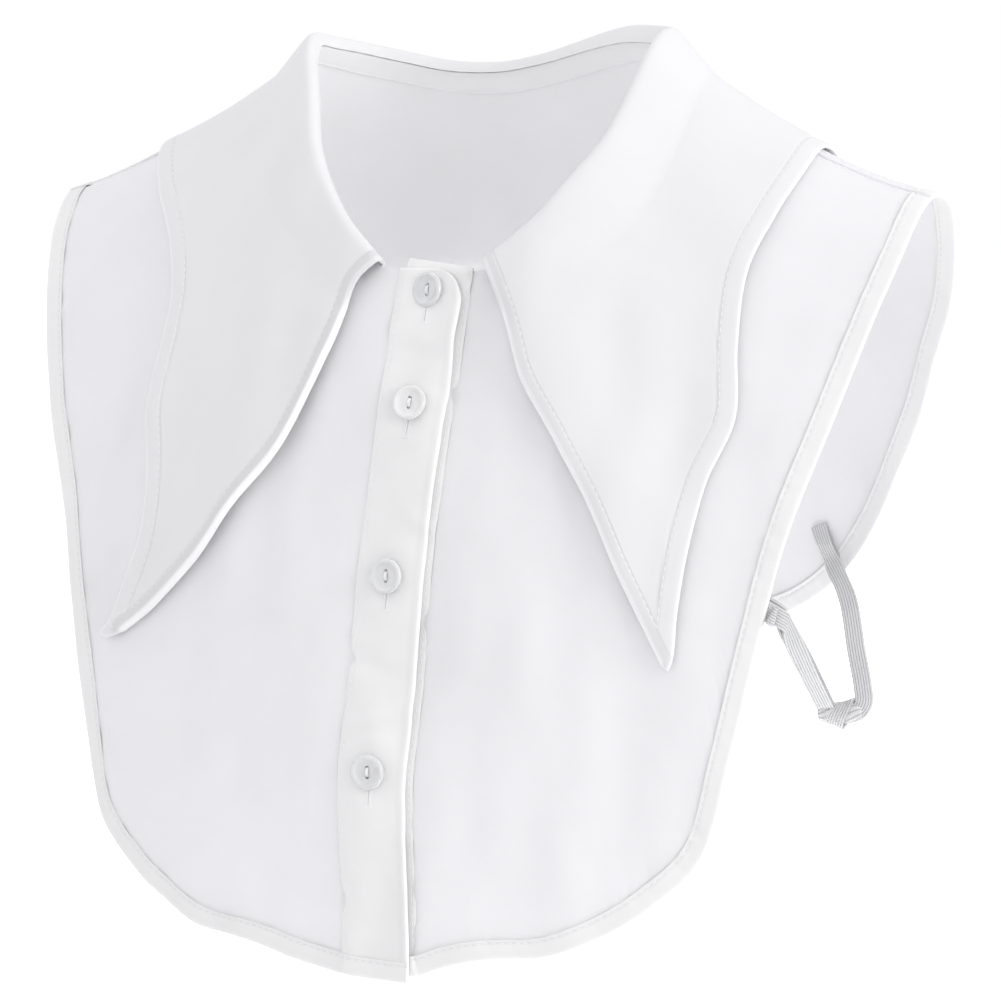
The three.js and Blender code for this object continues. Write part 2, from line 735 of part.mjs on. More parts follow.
const facingTop = 0.4;
const facingSection = [
  [facingTop, -legInner - facingWall],
  [facingWidth, -legInner - facingWall],
  [facingWidth, -legInner],
  [facingTop, -legInner],
];
const startRight = frontShares[-1][0];
const startLeft = frontShares[1][0];
const facingShares = [
  ...frontShares[-1].map((u) => seamRight * (u - startRight) / (1 - startRight)),
  ...backShares.slice(1, -1).map((u) => seamRight + (seamLeft - seamRight) * u),
  ...frontShares[1].map((u) => 1 + (seamLeft - 1) * (u - startLeft) / (1 - startLeft)).reverse(),
];
const facingSections = facingShares.map((u) => facingSection.map(([e, n]) => {
  const [x, s] = besideCurve(foldCurve, u, -e);
  return onFront(x, s, n, x < buttonLine(s) ? -1 : 1);
}));
addMesh("neck_facing", stripGeometry(facingSections, facingSection), white.band);

// Elastic side ties: flat elastic from the back's edge down to a knot, doubled up to the front.

const tieRear = { across: 0.555, drop: 0.697 };                // inside the back, shares of span and drop
const tieLow = { across: 0.721, depth: 25, fall: 216.5 };      // the knot
const overBinding = { out: 3.5, down: 5.25 };                  // where the rear strap meets the binding
const rearSwing = { inward: 4, back: 11, up: 22 };             // the rear strap's bow above the knot
const frontSwing = { outward: 1, down: 1 };                    // the front strap's bow
const tieFront = {
  left: { drop: 0.478, inside: 4, outside: 4.5 },              // comes round the binding's edge
  right: { drop: 0.505, inside: 1, outside: -8 },              // comes from inside, out of sight
};

// A flat strap along a path, its width turned from the first direction to the last
function strapGeometry(path, firstAcross, lastAcross, width, wall) {
  const flat = [[-0.5, -0.5], [0.5, -0.5], [0.5, 0.5], [-0.5, 0.5]];
  const sections = path.map((p, i) => {
    const before = path[Math.max(i - 1, 0)];
    const after = path[Math.min(i + 1, path.length - 1)];
    const t = new THREE.Vector3().subVectors(after, before).normalize();
    const across = firstAcross.clone().lerp(lastAcross, smooth(0.15, 0.85, i / (path.length - 1)));
    const w = across.addScaledVector(t, -across.dot(t)).normalize();
    const n = new THREE.Vector3().crossVectors(t, w);
    return flat.map(([a, b]) => p.clone().addScaledVector(w, a * width).addScaledVector(n, b * wall));
  });
  return stripGeometry(sections, flat);
}

for (const side of [-1, 1]) {
  const name = side < 0 ? "right" : "left";
  const knotAxis = new THREE.Vector3(side * 0.88, 0.47, 0).normalize();
  const low = new THREE.Vector3(side * tieLow.across * spanHalf, tieLow.depth, -tieLow.fall);
  const upwards = new THREE.Vector3(0, 0, 1);
  const onKnot = low.clone().addScaledVector(upwards, knotHeight / 2 + 3 * gap);
  const knotTop = (along) => onKnot.clone().addScaledVector(knotAxis, along);

  const rear = [side * tieRear.across * spanHalf, -tieRear.drop * backDrop];
  const onPanel = -(panelWall / 2 + 4 * gap + elasticWall / 2);
  const onBinding = -(legOuter + 6 * gap + elasticWall / 2);
  const rearEnd = knotTop(knotLength * 0.3).addScaledVector(upwards, -2 * gap);
  const rearPath = new THREE.CatmullRomCurve3([
    onBody(rear[0], rear[1], onPanel),
    onBody(rear[0] + side * overBinding.out, rear[1] - overBinding.down, onBinding),
    rearEnd.clone().add(new THREE.Vector3(-side * rearSwing.inward, rearSwing.back, rearSwing.up)),
    rearEnd,
  ]).getPoints(16);
  const across = side * elasticWidth / 2;
  const clothAcross = onBody(rear[0] + across, rear[1], 0)
    .sub(onBody(rear[0] - across, rear[1], 0)).normalize();
  const rearStrap = strapGeometry(rearPath, clothAcross, knotAxis, elasticWidth, elasticWall);
  addMesh(`elastic_rear_${name}`, rearStrap, white.elastic);

  const knot = new THREE.SphereGeometry(0.5, 12, 8).scale(knotLength, knotThick, knotHeight);
  knot.rotateZ(Math.atan2(knotAxis.y, knotAxis.x)).translate(low.x, low.y, low.z);
  addMesh(`elastic_knot_${name}`, fromSolid(toSolid(knot)), white.elastic);

  const { outline } = frontCurves[side];
  const sewn = tieFront[name];
  const at = firstShare((u) => outline.getPointAt(u).y < sewn.drop * frontDrop);
  const behind = -(legOuter + 3 * gap + elasticWall);
  const edgePoint = (distance, n) => onBody(...besideCurve(outline, at, side * distance), n);
  const frontStart = knotTop(-knotLength * 0.27);
  const frontMiddle = frontStart.clone().lerp(edgePoint(sewn.outside, behind), 0.5);
  const frontPath = new THREE.CatmullRomCurve3([
    frontStart,
    frontMiddle.add(new THREE.Vector3(side * frontSwing.outward, 0, -frontSwing.down)),
    edgePoint(sewn.outside, behind - gap),
    edgePoint(-sewn.inside, behind),
  ]).getPoints(14);
  const edgeAcross = onBody(...besideCurve(outline, at + 0.01, 0), 0)
    .sub(onBody(...besideCurve(outline, at - 0.01, 0), 0)).normalize();
  const frontAcross = knotAxis.dot(edgeAcross) < 0 ? edgeAcross.negate() : edgeAcross;
  const frontStrap = strapGeometry(frontPath, knotAxis, frontAcross, elasticWidth, 2 * elasticWall);
  addMesh(`elastic_front_${name}`, frontStrap, white.elastic);
}

export default object;
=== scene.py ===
import math

import bmesh
import bpy
import numpy as np
from mathutils import Matrix, Vector, kdtree
from mathutils.bvhtree import BVHTree


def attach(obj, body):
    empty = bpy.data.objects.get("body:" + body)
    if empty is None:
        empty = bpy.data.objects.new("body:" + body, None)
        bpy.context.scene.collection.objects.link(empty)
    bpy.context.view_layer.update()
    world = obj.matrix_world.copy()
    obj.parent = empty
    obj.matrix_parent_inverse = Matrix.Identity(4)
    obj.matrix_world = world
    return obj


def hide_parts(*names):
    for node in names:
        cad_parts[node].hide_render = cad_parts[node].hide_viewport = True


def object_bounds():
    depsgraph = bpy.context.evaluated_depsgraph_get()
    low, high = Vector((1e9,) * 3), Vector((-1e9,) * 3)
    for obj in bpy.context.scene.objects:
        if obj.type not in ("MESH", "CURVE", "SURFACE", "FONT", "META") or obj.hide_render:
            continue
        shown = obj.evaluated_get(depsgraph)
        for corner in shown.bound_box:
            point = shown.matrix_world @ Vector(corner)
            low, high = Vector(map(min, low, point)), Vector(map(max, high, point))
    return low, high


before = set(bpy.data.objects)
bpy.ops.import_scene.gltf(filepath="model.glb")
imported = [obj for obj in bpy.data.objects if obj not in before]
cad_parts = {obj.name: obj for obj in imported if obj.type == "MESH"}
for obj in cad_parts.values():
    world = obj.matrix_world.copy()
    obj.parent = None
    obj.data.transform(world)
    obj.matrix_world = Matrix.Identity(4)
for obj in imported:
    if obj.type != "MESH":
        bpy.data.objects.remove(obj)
cad_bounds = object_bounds()


# The view and the studio. The bib collar hangs in the air as it does when worn, seen from the
# wearer's front left and a little above, through a long lens. The room is white, with a low key
# light at the wearer's left, two softer lights at the wearer's right and a small one under the hem.
photo_side = 1001
view_turn = math.radians(28)
view_tilt = math.radians(4.5)
view_distance = 1.6
focal_pixels = 4880
origin_pixel = (488, 45)

to_right = Vector((math.cos(view_turn), math.sin(view_turn), 0))
ahead = Vector((
    -math.sin(view_turn) * math.cos(view_tilt),
    math.cos(view_turn) * math.cos(view_tilt),
    -math.sin(view_tilt),
))
upwards = to_right.cross(ahead)
metres_per_pixel = view_distance / focal_pixels
camera_place = -(
    ahead * view_distance
    + to_right * (origin_pixel[0] - photo_side / 2) * metres_per_pixel
    - upwards * (origin_pixel[1] - photo_side / 2) * metres_per_pixel
)
camera_data = bpy.data.cameras.new("camera")
camera_data.sensor_width = 36
camera_data.lens = camera_data.sensor_width * focal_pixels / photo_side
camera_data.clip_end = 60


def new_object(name, data):
    """An object in the scene that holds a mesh, curve, camera or light."""
    thing = bpy.data.objects.new(name, data)
    bpy.context.scene.collection.objects.link(thing)
    return thing


camera = new_object("camera", camera_data)
camera_axes = Matrix((to_right, upwards, -ahead)).transposed()
camera.matrix_world = Matrix.Translation(camera_place) @ camera_axes.to_4x4()
bpy.context.scene.camera = camera


def add_node(tree, kind, inputs=None, **settings):
    """A new node with its settings and inputs; an input is a value or another node's output."""
    node = tree.nodes.new(kind)
    for name, value in settings.items():
        setattr(node, name, value)
    for name, value in (inputs or {}).items():
        if isinstance(value, bpy.types.NodeSocket):
            tree.links.new(value, node.inputs[name])
        else:
            node.inputs[name].default_value = value
    return node


def remap(tree, value, before, after):
    """An output moved from one pair of ends to another and held between them."""
    ends = {"From Min": before[0], "From Max": before[1], "To Min": after[0], "To Max": after[1]}
    return add_node(tree, "ShaderNodeMapRange", {"Value": value, **ends}).outputs[0]


def new_material(name):
    material = bpy.data.materials.new(name)
    material.use_nodes = True
    material.node_tree.nodes.clear()
    return material, material.node_tree


def show_surface(tree, shade):
    """Makes a shader the material's surface."""
    add_node(tree, "ShaderNodeOutputMaterial", {"Surface": shade.outputs[0]})


world = bpy.data.worlds.new("white_room")
world.use_nodes = True
room = world.node_tree
room.nodes.clear()
room_light = 1.07
zenith_share = 0.78
seen_by_camera = add_node(room, "ShaderNodeLightPath").outputs["Is Camera Ray"]
sky_way = add_node(room, "ShaderNodeTexCoord").outputs["Generated"]
sky_height = add_node(room, "ShaderNodeSeparateXYZ", {"Vector": sky_way}).outputs["Z"]
sky = remap(room, sky_height, (0, 1), (room_light, room_light * zenith_share))
lit = add_node(room, "ShaderNodeBackground", {"Color": (0.985, 0.985, 1.0, 1), "Strength": sky})
seen = add_node(room, "ShaderNodeBackground", {"Color": (1, 1, 1, 1), "Strength": 1.0})
both = add_node(room, "ShaderNodeMixShader", {0: seen_by_camera, 1: lit.outputs[0], 2: seen.outputs[0]})
add_node(room, "ShaderNodeOutputWorld", {"Surface": both.outputs[0]})
bpy.context.scene.world = world
bpy.context.scene.view_settings.view_transform = "Standard"

lights_aim = Vector((0, 0, -0.12))


def area_light(name, turn, tilt, distance, size, power, tint=(1, 1, 1)):
    """A square soft light that looks at the middle of the collar, placed by its bearing and height."""
    data = bpy.data.lights.new(name, "AREA")
    data.size = size
    data.energy = power
    data.color = tint
    turn, tilt = math.radians(turn), math.radians(tilt)
    way = Vector((math.sin(turn) * math.cos(tilt), -math.cos(turn) * math.cos(tilt), math.sin(tilt)))
    axes = way.to_track_quat("Z", "Y").to_matrix().to_4x4()
    new_object(name, data).matrix_world = Matrix.Translation(lights_aim + way * distance) @ axes


area_light("key", 80, 14, 2.4, 1.1, 21.5, (1.0, 0.995, 0.98))
area_light("left_high", -62, 46, 2.4, 1.7, 5.5)
area_light("left_fill", -50, 14, 2.6, 1.8, 1.0, (0.96, 0.97, 1.0))
area_light("under_fill", 0, -88, 0.355, 0.22, 0.74)

floor_drop = 0.20
floor_height = cad_bounds[0][2] - floor_drop
floor_reach = 14
floor_mesh = bpy.data.meshes.new("floor")
floor_corners = [
    (x * floor_reach, y * floor_reach, floor_height) for x, y in ((-1, -1), (1, -1), (1, 1), (-1, 1))]
floor_mesh.from_pydata(floor_corners, [], [(0, 1, 2, 3)])
floor = new_object("floor", floor_mesh)
floor_finish, tree = new_material("pale_floor")
camera_ray = add_node(tree, "ShaderNodeLightPath").outputs["Is Camera Ray"]
show_surface(tree, add_node(tree, "ShaderNodeBsdfPrincipled", {
    "Base Color": (0.77, 0.77, 0.77, 1), "Roughness": 0.9,
    "Emission Color": (1, 1, 1, 1), "Emission Strength": camera_ray,
}))
floor_mesh.materials.append(floor_finish)


# The two bib fronts and the back: one layer of thin white poplin each, cut to lie on the chest,
# shoulders and back, and joined by a shoulder seam just in front of the shoulder's ridge. A place
# on the cloth is (x, s): x across the body and s along the cloth from the ridge, plus down the front.
span_half = 0.161
neck_half = 0.059
neck_point_rise = 0.003
shoulder_drop = 0.051
shoulder_bow = 1.5
front_drop = 0.329
back_drop = 0.240
side_wrap = 0.045
front_turn = {"tight": 48, "tight_over": 0.008, "slow": 40, "slow_over": 0.110}
back_turn = {"tight": 26, "tight_over": 0.008, "slow": 60, "slow_over": 0.068}
panel_wall = 0.0005
seam_forward = 0.006
bind_width = 0.007
edge_inset = 0.0006
facing_width = 0.0086
neck_inset = 0.0012
placket_width = 0.024
placket_lead = 0.005
placket_top = 0.104
placket_slot = 0.006
under_shift = 0.0015
front_lap = 0.00125


def section_table(turn):
    """Reach and fall of the cloth along a section: it leaves the ridge level and turns down."""
    step = 0.0005
    way = np.arange(0, front_drop * 1.2, step)
    middle = way + step / 2
    angle = np.radians(
        turn["tight"] * (1 - np.exp(-middle / turn["tight_over"]))
        + turn["slow"] * (1 - np.exp(-middle / turn["slow_over"])))
    reach = np.concatenate([[0], np.cumsum(step * np.cos(angle))])
    fall = np.concatenate([[0], np.cumsum(step * np.sin(angle))])
    return np.arange(len(reach)) * step, reach, fall


front_way, front_reach, front_fall = section_table(front_turn)
back_way, back_reach, back_fall = section_table(back_turn)


def body_point(x, s):
    """The point of the body that lies under a place on the cloth."""
    x, s = np.broadcast_arrays(np.asarray(x, float), np.asarray(s, float))
    down = np.abs(s)
    in_front = s >= 0
    reach = np.where(in_front, np.interp(down, front_way, front_reach), np.interp(down, back_way, back_reach))
    fall = np.where(in_front, np.interp(down, front_way, front_fall), np.interp(down, back_way, back_fall))
    wrap = side_wrap * (x / span_half) ** 2 * (down / front_drop) ** 1.5
    a = np.abs(x)
    slope = shoulder_drop * shoulder_bow / (span_half - neck_half)
    over_neck = neck_point_rise + slope * neck_half / 4 * (1 - (a / neck_half) ** 4)
    q = (a - neck_half) / (span_half - neck_half)
    on_shoulder = neck_point_rise - shoulder_drop * (shoulder_bow * q - (shoulder_bow - 1) * q * q)
    ridge = np.where(a < neck_half, over_neck, on_shoulder)
    return np.stack([x, np.where(in_front, wrap - reach, reach - wrap), ridge - fall], -1)


def unit(vectors):
    return vectors / np.maximum(np.linalg.norm(vectors, axis=-1, keepdims=True), 1e-12)


def body_normal(x, s):
    e = 0.0015
    along = body_point(x, s + e) - body_point(x, s - e)
    across = body_point(x + e, s) - body_point(x - e, s)
    return unit(np.cross(along, across))


def body_path(places):
    """The body's points under an array of places on the cloth."""
    return body_point(places[..., 0], places[..., 1])


def smooth(low, high, a):
    """A soft step from 0 at low to 1 at high."""
    q = np.clip((np.asarray(a, float) - low) / (high - low), 0, 1)
    return q * q * (3 - 2 * q)


def smooth_line(points, per_span=64):
    """A smooth open line through points, with the share of its length at each of its own points."""
    points = np.asarray(points, float)
    padded = np.vstack([2 * points[0] - points[1], points, 2 * points[-1] - points[-2]])
    gaps = np.linalg.norm(np.diff(padded, axis=0), axis=1) ** 0.5
    t = np.linspace(0, 1, per_span, endpoint=False)[:, None]
    spans = []
    for i in range(1, len(padded) - 2):
        p0, p1, p2, p3 = padded[i - 1:i + 3]
        d0, d1, d2 = gaps[i - 1:i + 2]
        m1 = ((p1 - p0) / d0 - (p2 - p0) / (d0 + d1) + (p2 - p1) / d1) * d1
        m2 = ((p2 - p1) / d1 - (p3 - p1) / (d1 + d2) + (p3 - p2) / d2) * d1
        spans.append((((2 * p1 - 2 * p2 + m1 + m2) * t - 3 * p1 + 3 * p2 - 2 * m1 - m2) * t + m1) * t + p1)
    line = np.vstack(spans + [points[-1:]])
    length = np.concatenate([[0], np.cumsum(np.linalg.norm(np.diff(line, axis=0), axis=1))])
    return line, length / length[-1]


def at(line, share):
    """The point of a line at a share of its length."""
    points, shares = line
    return np.stack([np.interp(share, shares, points[:, k]) for k in range(points.shape[1])], -1)


def heading(line, share):
    e = 0.0012
    return unit(at(line, np.minimum(share + e, 1))[..., :2] - at(line, np.maximum(share - e, 0))[..., :2])


def beside(line, share, distance):
    """Places a distance to the left of a plan line, measured in the cloth."""
    p = at(line, share)[..., :2]
    t = heading(line, share)
    aside = np.stack([-t[..., 1], t[..., 0]], -1)
    step = 0.0005
    stretch = np.linalg.norm(body_path(p + aside * step) - body_path(p), axis=-1) / step
    return p + aside * (np.asarray(distance) / stretch)[..., None]


def first_share(line, test):
    """The share of a line at which its place first passes a test."""
    shares = np.linspace(0, 1, 20001)
    p = at(line, shares)
    return float(shares[np.argmax(test(p[:, 0], p[:, 1]))])


# Down the front, and how far the button line lies to the side there, in widths of the band.
placket_sway = (
    (0.30, 0.16), (0.42, 0.13), (0.52, 0.06), (0.62, -0.02), (0.73, -0.06),
    (0.81, -0.12), (0.87, -0.07), (0.95, 0.03), (1.01, 0.04),
)
sway_line = smooth_line([(drop * front_drop, shift * placket_width) for drop, shift in placket_sway])[0]


def button_line(s):
    return placket_lead + np.interp(s, sway_line[:, 0], sway_line[:, 1])


def band_shift(side):
    """How far a front's band lies to the side of the button line."""
    return under_shift if side > 0 else 0


def lap_height(x, s, side):
    """The wearer's right front lies over the left one along the bands, and they part away from them."""
    away = np.abs(x - button_line(s)) - placket_width / 2
    parted = smooth(placket_width * 0.15, placket_width * 1.6, away)
    return -side * front_lap * smooth(0, placket_top * 0.7, s) * (1 - parted)


def ripples(x, y, waves, seed):
    """Soft random relief, about -1 to 1: the sum of a few waves of the given lengths."""
    rng = np.random.default_rng(seed)
    total = 0
    for wave in waves:
        turn = rng.uniform(0, math.pi)
        start = rng.uniform(0, 2 * math.pi)
        total = total + np.sin(2 * math.pi * (x * math.cos(turn) + y * math.sin(turn)) / wave + start)
    return total / len(waves)


def drape(x, s):
    """The slow hang of the cloth off the body, the same for every layer at one place."""
    hang = 0.0009 * ripples(x, s, (0.150, 0.115, 0.092, 0.078, 0.064), 4)
    fold = 0.0008 * ripples(x * 1.7, s * 0.35, (0.052, 0.041, 0.034), 11)
    crease = 0.00022 * ripples(x * 1.3, s * 0.6, (0.023, 0.031, 0.017), 17)
    return hang + (fold + crease) * smooth(0.03, 0.12, np.abs(s))


def on_cloth(x, s, n, side=0):
    """The point a height n above the cloth at a place; side tells the fronts apart where they lap."""
    x, s, n = np.broadcast_arrays(x, s, n)
    lift = n + drape(x, s)
    if side:
        lift = lift + lap_height(x, s, side)
    return body_point(x, s) + body_normal(x, s) * lift[..., None]


# The bound edges, from shoulder to hem: shares of the front's or back's drop, and of half the span.
front_outline = (
    (0.019, 0.993), (0.090, 0.976), (0.182, 0.938), (0.280, 0.891), (0.410, 0.820), (0.523, 0.776),
    (0.638, 0.733), (0.742, 0.683), (0.815, 0.590), (0.891, 0.466), (0.951, 0.342), (0.989, 0.175),
)
back_outline = (
    (0.129, 0.969), (0.242, 0.925), (0.354, 0.863), (0.463, 0.807), (0.629, 0.702),
    (0.717, 0.634), (0.813, 0.534), (0.904, 0.404), (0.971, 0.236), (1.000, 0.060),
)
neck_span = 0.062
neck_front = 0.103
neck_back = 0.039
# The fold at the neck, from the wearer's right front round the back to the left front: shares of
# the neck's span and depth, and how high the roll stands there.
fold_rows = (
    (-0.145, 1.000, 1), (-0.400, 0.855, 1), (-0.565, 0.718, 1), (-0.677, 0.583, 1), (-0.800, 0.360, 1),
    (-0.935, 0.136, 1), (-1.000, -0.050, 1), (-0.960, -0.300, 1), (-0.806, -0.670, 1), (-0.550, -0.950, 1),
    (-0.250, -1.020, 1), (0.030, -0.950, 1.05), (0.300, -0.820, 1.25), (0.600, -0.630, 1.50),
    (0.840, -0.440, 1.45), (0.980, -0.180, 1.30), (1.020, 0.050, 1.15), (1.020, 0.250, 1),
    (0.952, 0.485, 1), (0.820, 0.680, 1), (0.690, 0.825, 1), (0.435, 0.985, 1),
)
rise_scale = 0.001
fold_line = smooth_line([
    (across * neck_span, drop * (neck_front if drop > 0 else neck_back), rise * rise_scale)
    for across, drop, rise in fold_rows])
seam_right = first_share(fold_line, lambda x, s: s < seam_forward)
seam_left = 1 - first_share((fold_line[0][::-1], 1 - fold_line[1][::-1]), lambda x, s: s < seam_forward)


def seam_x(s, side):
    """Where a front's own cloth ends inside its button band."""
    return button_line(s) + band_shift(side) + side * (placket_width / 2 - placket_slot)


def bound_edge(side):
    """A front's bound edge, from the shoulder seam to near the button band."""
    places = [(side * out * span_half, drop * front_drop) for drop, out in front_outline]
    return [(places[0][0], seam_forward)] + places[1:]


front_lines = {
    side: smooth_line([(seam_x(front_drop, side), front_drop)] + bound_edge(side)[::-1])
    for side in (-1, 1)
}
back_half = {
    side: [bound_edge(side)[0], (side * span_half, -seam_forward)]
    + [(side * out * span_half, -drop * back_drop) for drop, out in back_outline]
    for side in (-1, 1)
}
back_line = smooth_line(back_half[-1] + back_half[1][::-1])


def pucker(along, inside, seed):
    """The cloth's small puckers beside a sewn edge: strongest at the seam, gone a finger's width in."""
    wave = ripples(along, 0 * along, (0.0052, 0.0083, 0.013, 0.021), seed)
    patches = smooth(-0.5, 0.9, ripples(along, 0 * along, (0.047, 0.083), seed + 1))
    fade = smooth(0, bind_width, inside) * np.exp(-np.maximum(inside - bind_width, 0) / 0.006)
    return 0.00034 * wave * (0.35 + 0.65 * patches) * fade


def mesh_object(name, points, quads, uv, caps=()):
    """An object from an array of points and one of four-cornered faces, turned to face outwards."""
    a, b, c, d = (points[quads[:, k]] for k in range(4))
    volume = np.einsum("ij,ij->i", a, np.cross(b, c)).sum() + np.einsum("ij,ij->i", a, np.cross(c, d)).sum()
    for cap in caps:
        corners = points[np.asarray(cap)]
        first = np.tile(corners[0], (len(cap) - 2, 1))
        volume += np.einsum("ij,ij->i", np.cross(corners[1:-1], corners[2:]), first).sum()
    turn = -1 if volume < 0 else 1
    turned_caps = [np.asarray(cap)[::turn] for cap in caps]
    loops = np.concatenate([quads[:, ::turn].ravel()] + turned_caps).astype(np.int32)
    sizes = np.concatenate([np.full(len(quads), 4), [len(cap) for cap in caps]]).astype(np.int32)
    mesh = bpy.data.meshes.new(name)
    mesh.vertices.add(len(points))
    mesh.vertices.foreach_set("co", points.astype(np.float32).ravel())
    mesh.loops.add(len(loops))
    mesh.loops.foreach_set("vertex_index", loops)
    mesh.polygons.add(len(sizes))
    mesh.polygons.foreach_set("loop_start", np.concatenate([[0], np.cumsum(sizes)[:-1]]).astype(np.int32))
    mesh.polygons.foreach_set("use_smooth", np.ones(len(sizes), bool))
    mesh.update(calc_edges=True)
    mesh.uv_layers.new(name="cloth").data.foreach_set("uv", uv[loops].astype(np.float32).ravel())
    mesh.set_sharp_from_angle(angle=math.radians(55))
    return new_object(name, mesh)


def shell_object(name, outer, inner, uv):
    """A closed thin wall between two like grids of points, with a rim round its edge."""
    rows, columns = outer.shape[:2]
    count = rows * columns
    index = np.arange(count).reshape(rows, columns)
    quads = np.stack([index[:-1, :-1], index[1:, :-1], index[1:, 1:], index[:-1, 1:]], -1).reshape(-1, 4)
    edges = (
        (index[0, :-1], index[0, 1:]),
        (index[-1, 1:], index[-1, :-1]),
        (index[1:, 0], index[:-1, 0]),
        (index[:-1, -1], index[1:, -1]),
    )
    rims = [np.stack([start, end, end + count, start + count], -1) for start, end in edges]
    faces = np.vstack([quads, quads[:, ::-1] + count] + rims)
    points = np.vstack([outer.reshape(-1, 3), inner.reshape(-1, 3)])
    return mesh_object(name, points, faces, np.vstack([uv.reshape(-1, 2)] * 2))


def finish_piece(piece, finish, node=None):
    """Gives a piece its finish and its body, and hides the solid that it stands for if there is one."""
    piece.data.materials.append(finish)
    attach(piece, "root")
    if node:
        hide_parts(node)
    return piece


def calculate(tree, operation, *values):
    """The result of a sum on numbers or outputs."""
    return add_node(tree, "ShaderNodeMath", dict(enumerate(values)), operation=operation).outputs[0]


def weave_group():
    """Plain weave: threads over and under each other, with slow changes of tone."""
    group = bpy.data.node_groups.new("plain_weave", "ShaderNodeTree")
    group.interface.new_socket(name="Vector", in_out="INPUT", socket_type="NodeSocketVector")
    per_metre = group.interface.new_socket(
        name="Threads per Metre", in_out="INPUT", socket_type="NodeSocketFloat")
    per_metre.default_value = 2900
    group.interface.new_socket(name="Height", in_out="OUTPUT", socket_type="NodeSocketFloat")
    group.interface.new_socket(name="Tone", in_out="OUTPUT", socket_type="NodeSocketFloat")
    start = add_node(group, "NodeGroupInput").outputs
    wobble = add_node(group, "ShaderNodeTexNoise", {"Vector": start["Vector"], "Scale": 240, "Detail": 1})
    threads = add_node(group, "ShaderNodeVectorMath", {
        0: start["Vector"], 3: start["Threads per Metre"]}, operation="SCALE")
    moved = add_node(group, "ShaderNodeVectorMath", {
        0: threads.outputs[0], 1: wobble.outputs["Color"]}, operation="ADD")
    parts = add_node(group, "ShaderNodeSeparateXYZ", {0: moved.outputs[0]})
    rounded, whole = [], []
    for axis in ("X", "Y"):
        wave = calculate(group, "SINE", calculate(group, "MULTIPLY", parts.outputs[axis], math.pi))
        rounded.append(calculate(group, "ABSOLUTE", wave))
        whole.append(calculate(group, "FLOOR", parts.outputs[axis]))
    over = calculate(group, "FLOORED_MODULO", calculate(group, "ADD", *whole), 2.0)
    height = add_node(group, "ShaderNodeMix", {
        "Factor": over, 2: rounded[0], 3: rounded[1]}, data_type="FLOAT")
    tone = add_node(group, "ShaderNodeTexNoise", {
        "Vector": start["Vector"], "Scale": 34, "Detail": 3, "Roughness": 0.6})
    add_node(group, "NodeGroupOutput", {"Height": height.outputs[0], "Tone": tone.outputs["Fac"]})
    return group


weave = weave_group()


def mix_colours(tree, factor, first, second, blend_type="MIX"):
    """The colour between two colours or outputs."""
    inputs = {"Factor": factor, 6: first, 7: second}
    return add_node(tree, "ShaderNodeMix", inputs, data_type="RGBA", blend_type=blend_type).outputs[2]


def cloth_finish(name, light, dark, bump, sheen, roughness=0.86, thin=0.0):
    """White cotton cloth: fine plain weave in relief, uneven tone, soft sheen; thin lets light through.
    The mesh's own edge attribute paints light and shade: above 0 a painted highlight where edges catch the
    light, below 0 painted shade in a seam's dip."""
    material, tree = new_material(name)
    place = add_node(tree, "ShaderNodeUVMap", uv_map="cloth")
    pattern = add_node(tree, "ShaderNodeGroup", node_tree=weave)
    tree.links.new(place.outputs["UV"], pattern.inputs["Vector"])
    tone = remap(tree, pattern.outputs["Tone"], (0.3, 0.7), (0, 1))
    plain = mix_colours(tree, tone, (*dark, 1), (*light, 1))
    # The edge attribute paints light and shade into the colour: a painted highlight towards white above 0,
    # painted shade below 0.
    edge = add_node(tree, "ShaderNodeAttribute", attribute_name="edge").outputs["Fac"]
    lighter = remap(tree, edge, (0, 1), (0, 0.9))
    darker = remap(tree, edge, (-1, 0), (0.88, 1))
    painted_highlight = mix_colours(tree, lighter, plain, (0.97, 0.97, 0.97, 1))
    color = mix_colours(tree, 1.0, painted_highlight, darker, "MULTIPLY")
    relief = add_node(tree, "ShaderNodeBump", {
        "Strength": bump, "Distance": 0.00006, "Height": pattern.outputs["Height"]})
    rough = remap(tree, pattern.outputs["Height"], (0, 1), (roughness + 0.06, roughness - 0.06))
    shade = add_node(tree, "ShaderNodeBsdfPrincipled", {
        "Base Color": color, "Roughness": rough, "Normal": relief.outputs[0],
        "Specular IOR Level": 0.25, "Sheen Weight": sheen, "Sheen Roughness": 0.45,
    })
    through = add_node(tree, "ShaderNodeBsdfTranslucent", {"Color": color, "Normal": relief.outputs[0]})
    show_surface(tree, add_node(tree, "ShaderNodeMixShader", {
        0: thin, 1: shade.outputs[0], 2: through.outputs[0]}))
    return material


panel_finish = cloth_finish(
    "cool_white_poplin", (0.932, 0.929, 0.941), (0.914, 0.911, 0.923), 0.30, 0.05, thin=0.30)


def panel_grid(edge_line, edge_share, fold_share, inward, rows):
    """Places from a panel's neck edge to its bound edge, and how far each lies inside that edge."""
    stations = np.stack([
        beside(fold_line, fold_share, -neck_inset),
        beside(fold_line, fold_share, -facing_width),
        beside(edge_line, edge_share, inward * bind_width),
        beside(edge_line, edge_share, inward * edge_inset),
    ], 1)
    low = np.minimum(rows.astype(int), 2)
    part = (rows - low)[None, :, None]
    places = stations[:, low] * (1 - part) + stations[:, low + 1] * part
    rest = np.linalg.norm(body_path(places) - body_path(stations[:, 2:3]), axis=-1)
    last = bind_width + (rows - 2) * (edge_inset - bind_width)
    inside = np.where(rows[None] <= 2, bind_width + rest, last[None])
    return places, inside


def panel_piece(name, node, places, relief, side=0):
    """A single layer of cloth through a grid of places."""
    x, s = places[..., 0], places[..., 1]
    outer, inner = (on_cloth(x, s, relief + face * panel_wall / 2, side) for face in (1, -1))
    return finish_piece(shell_object(name, outer, inner, places), panel_finish, node)


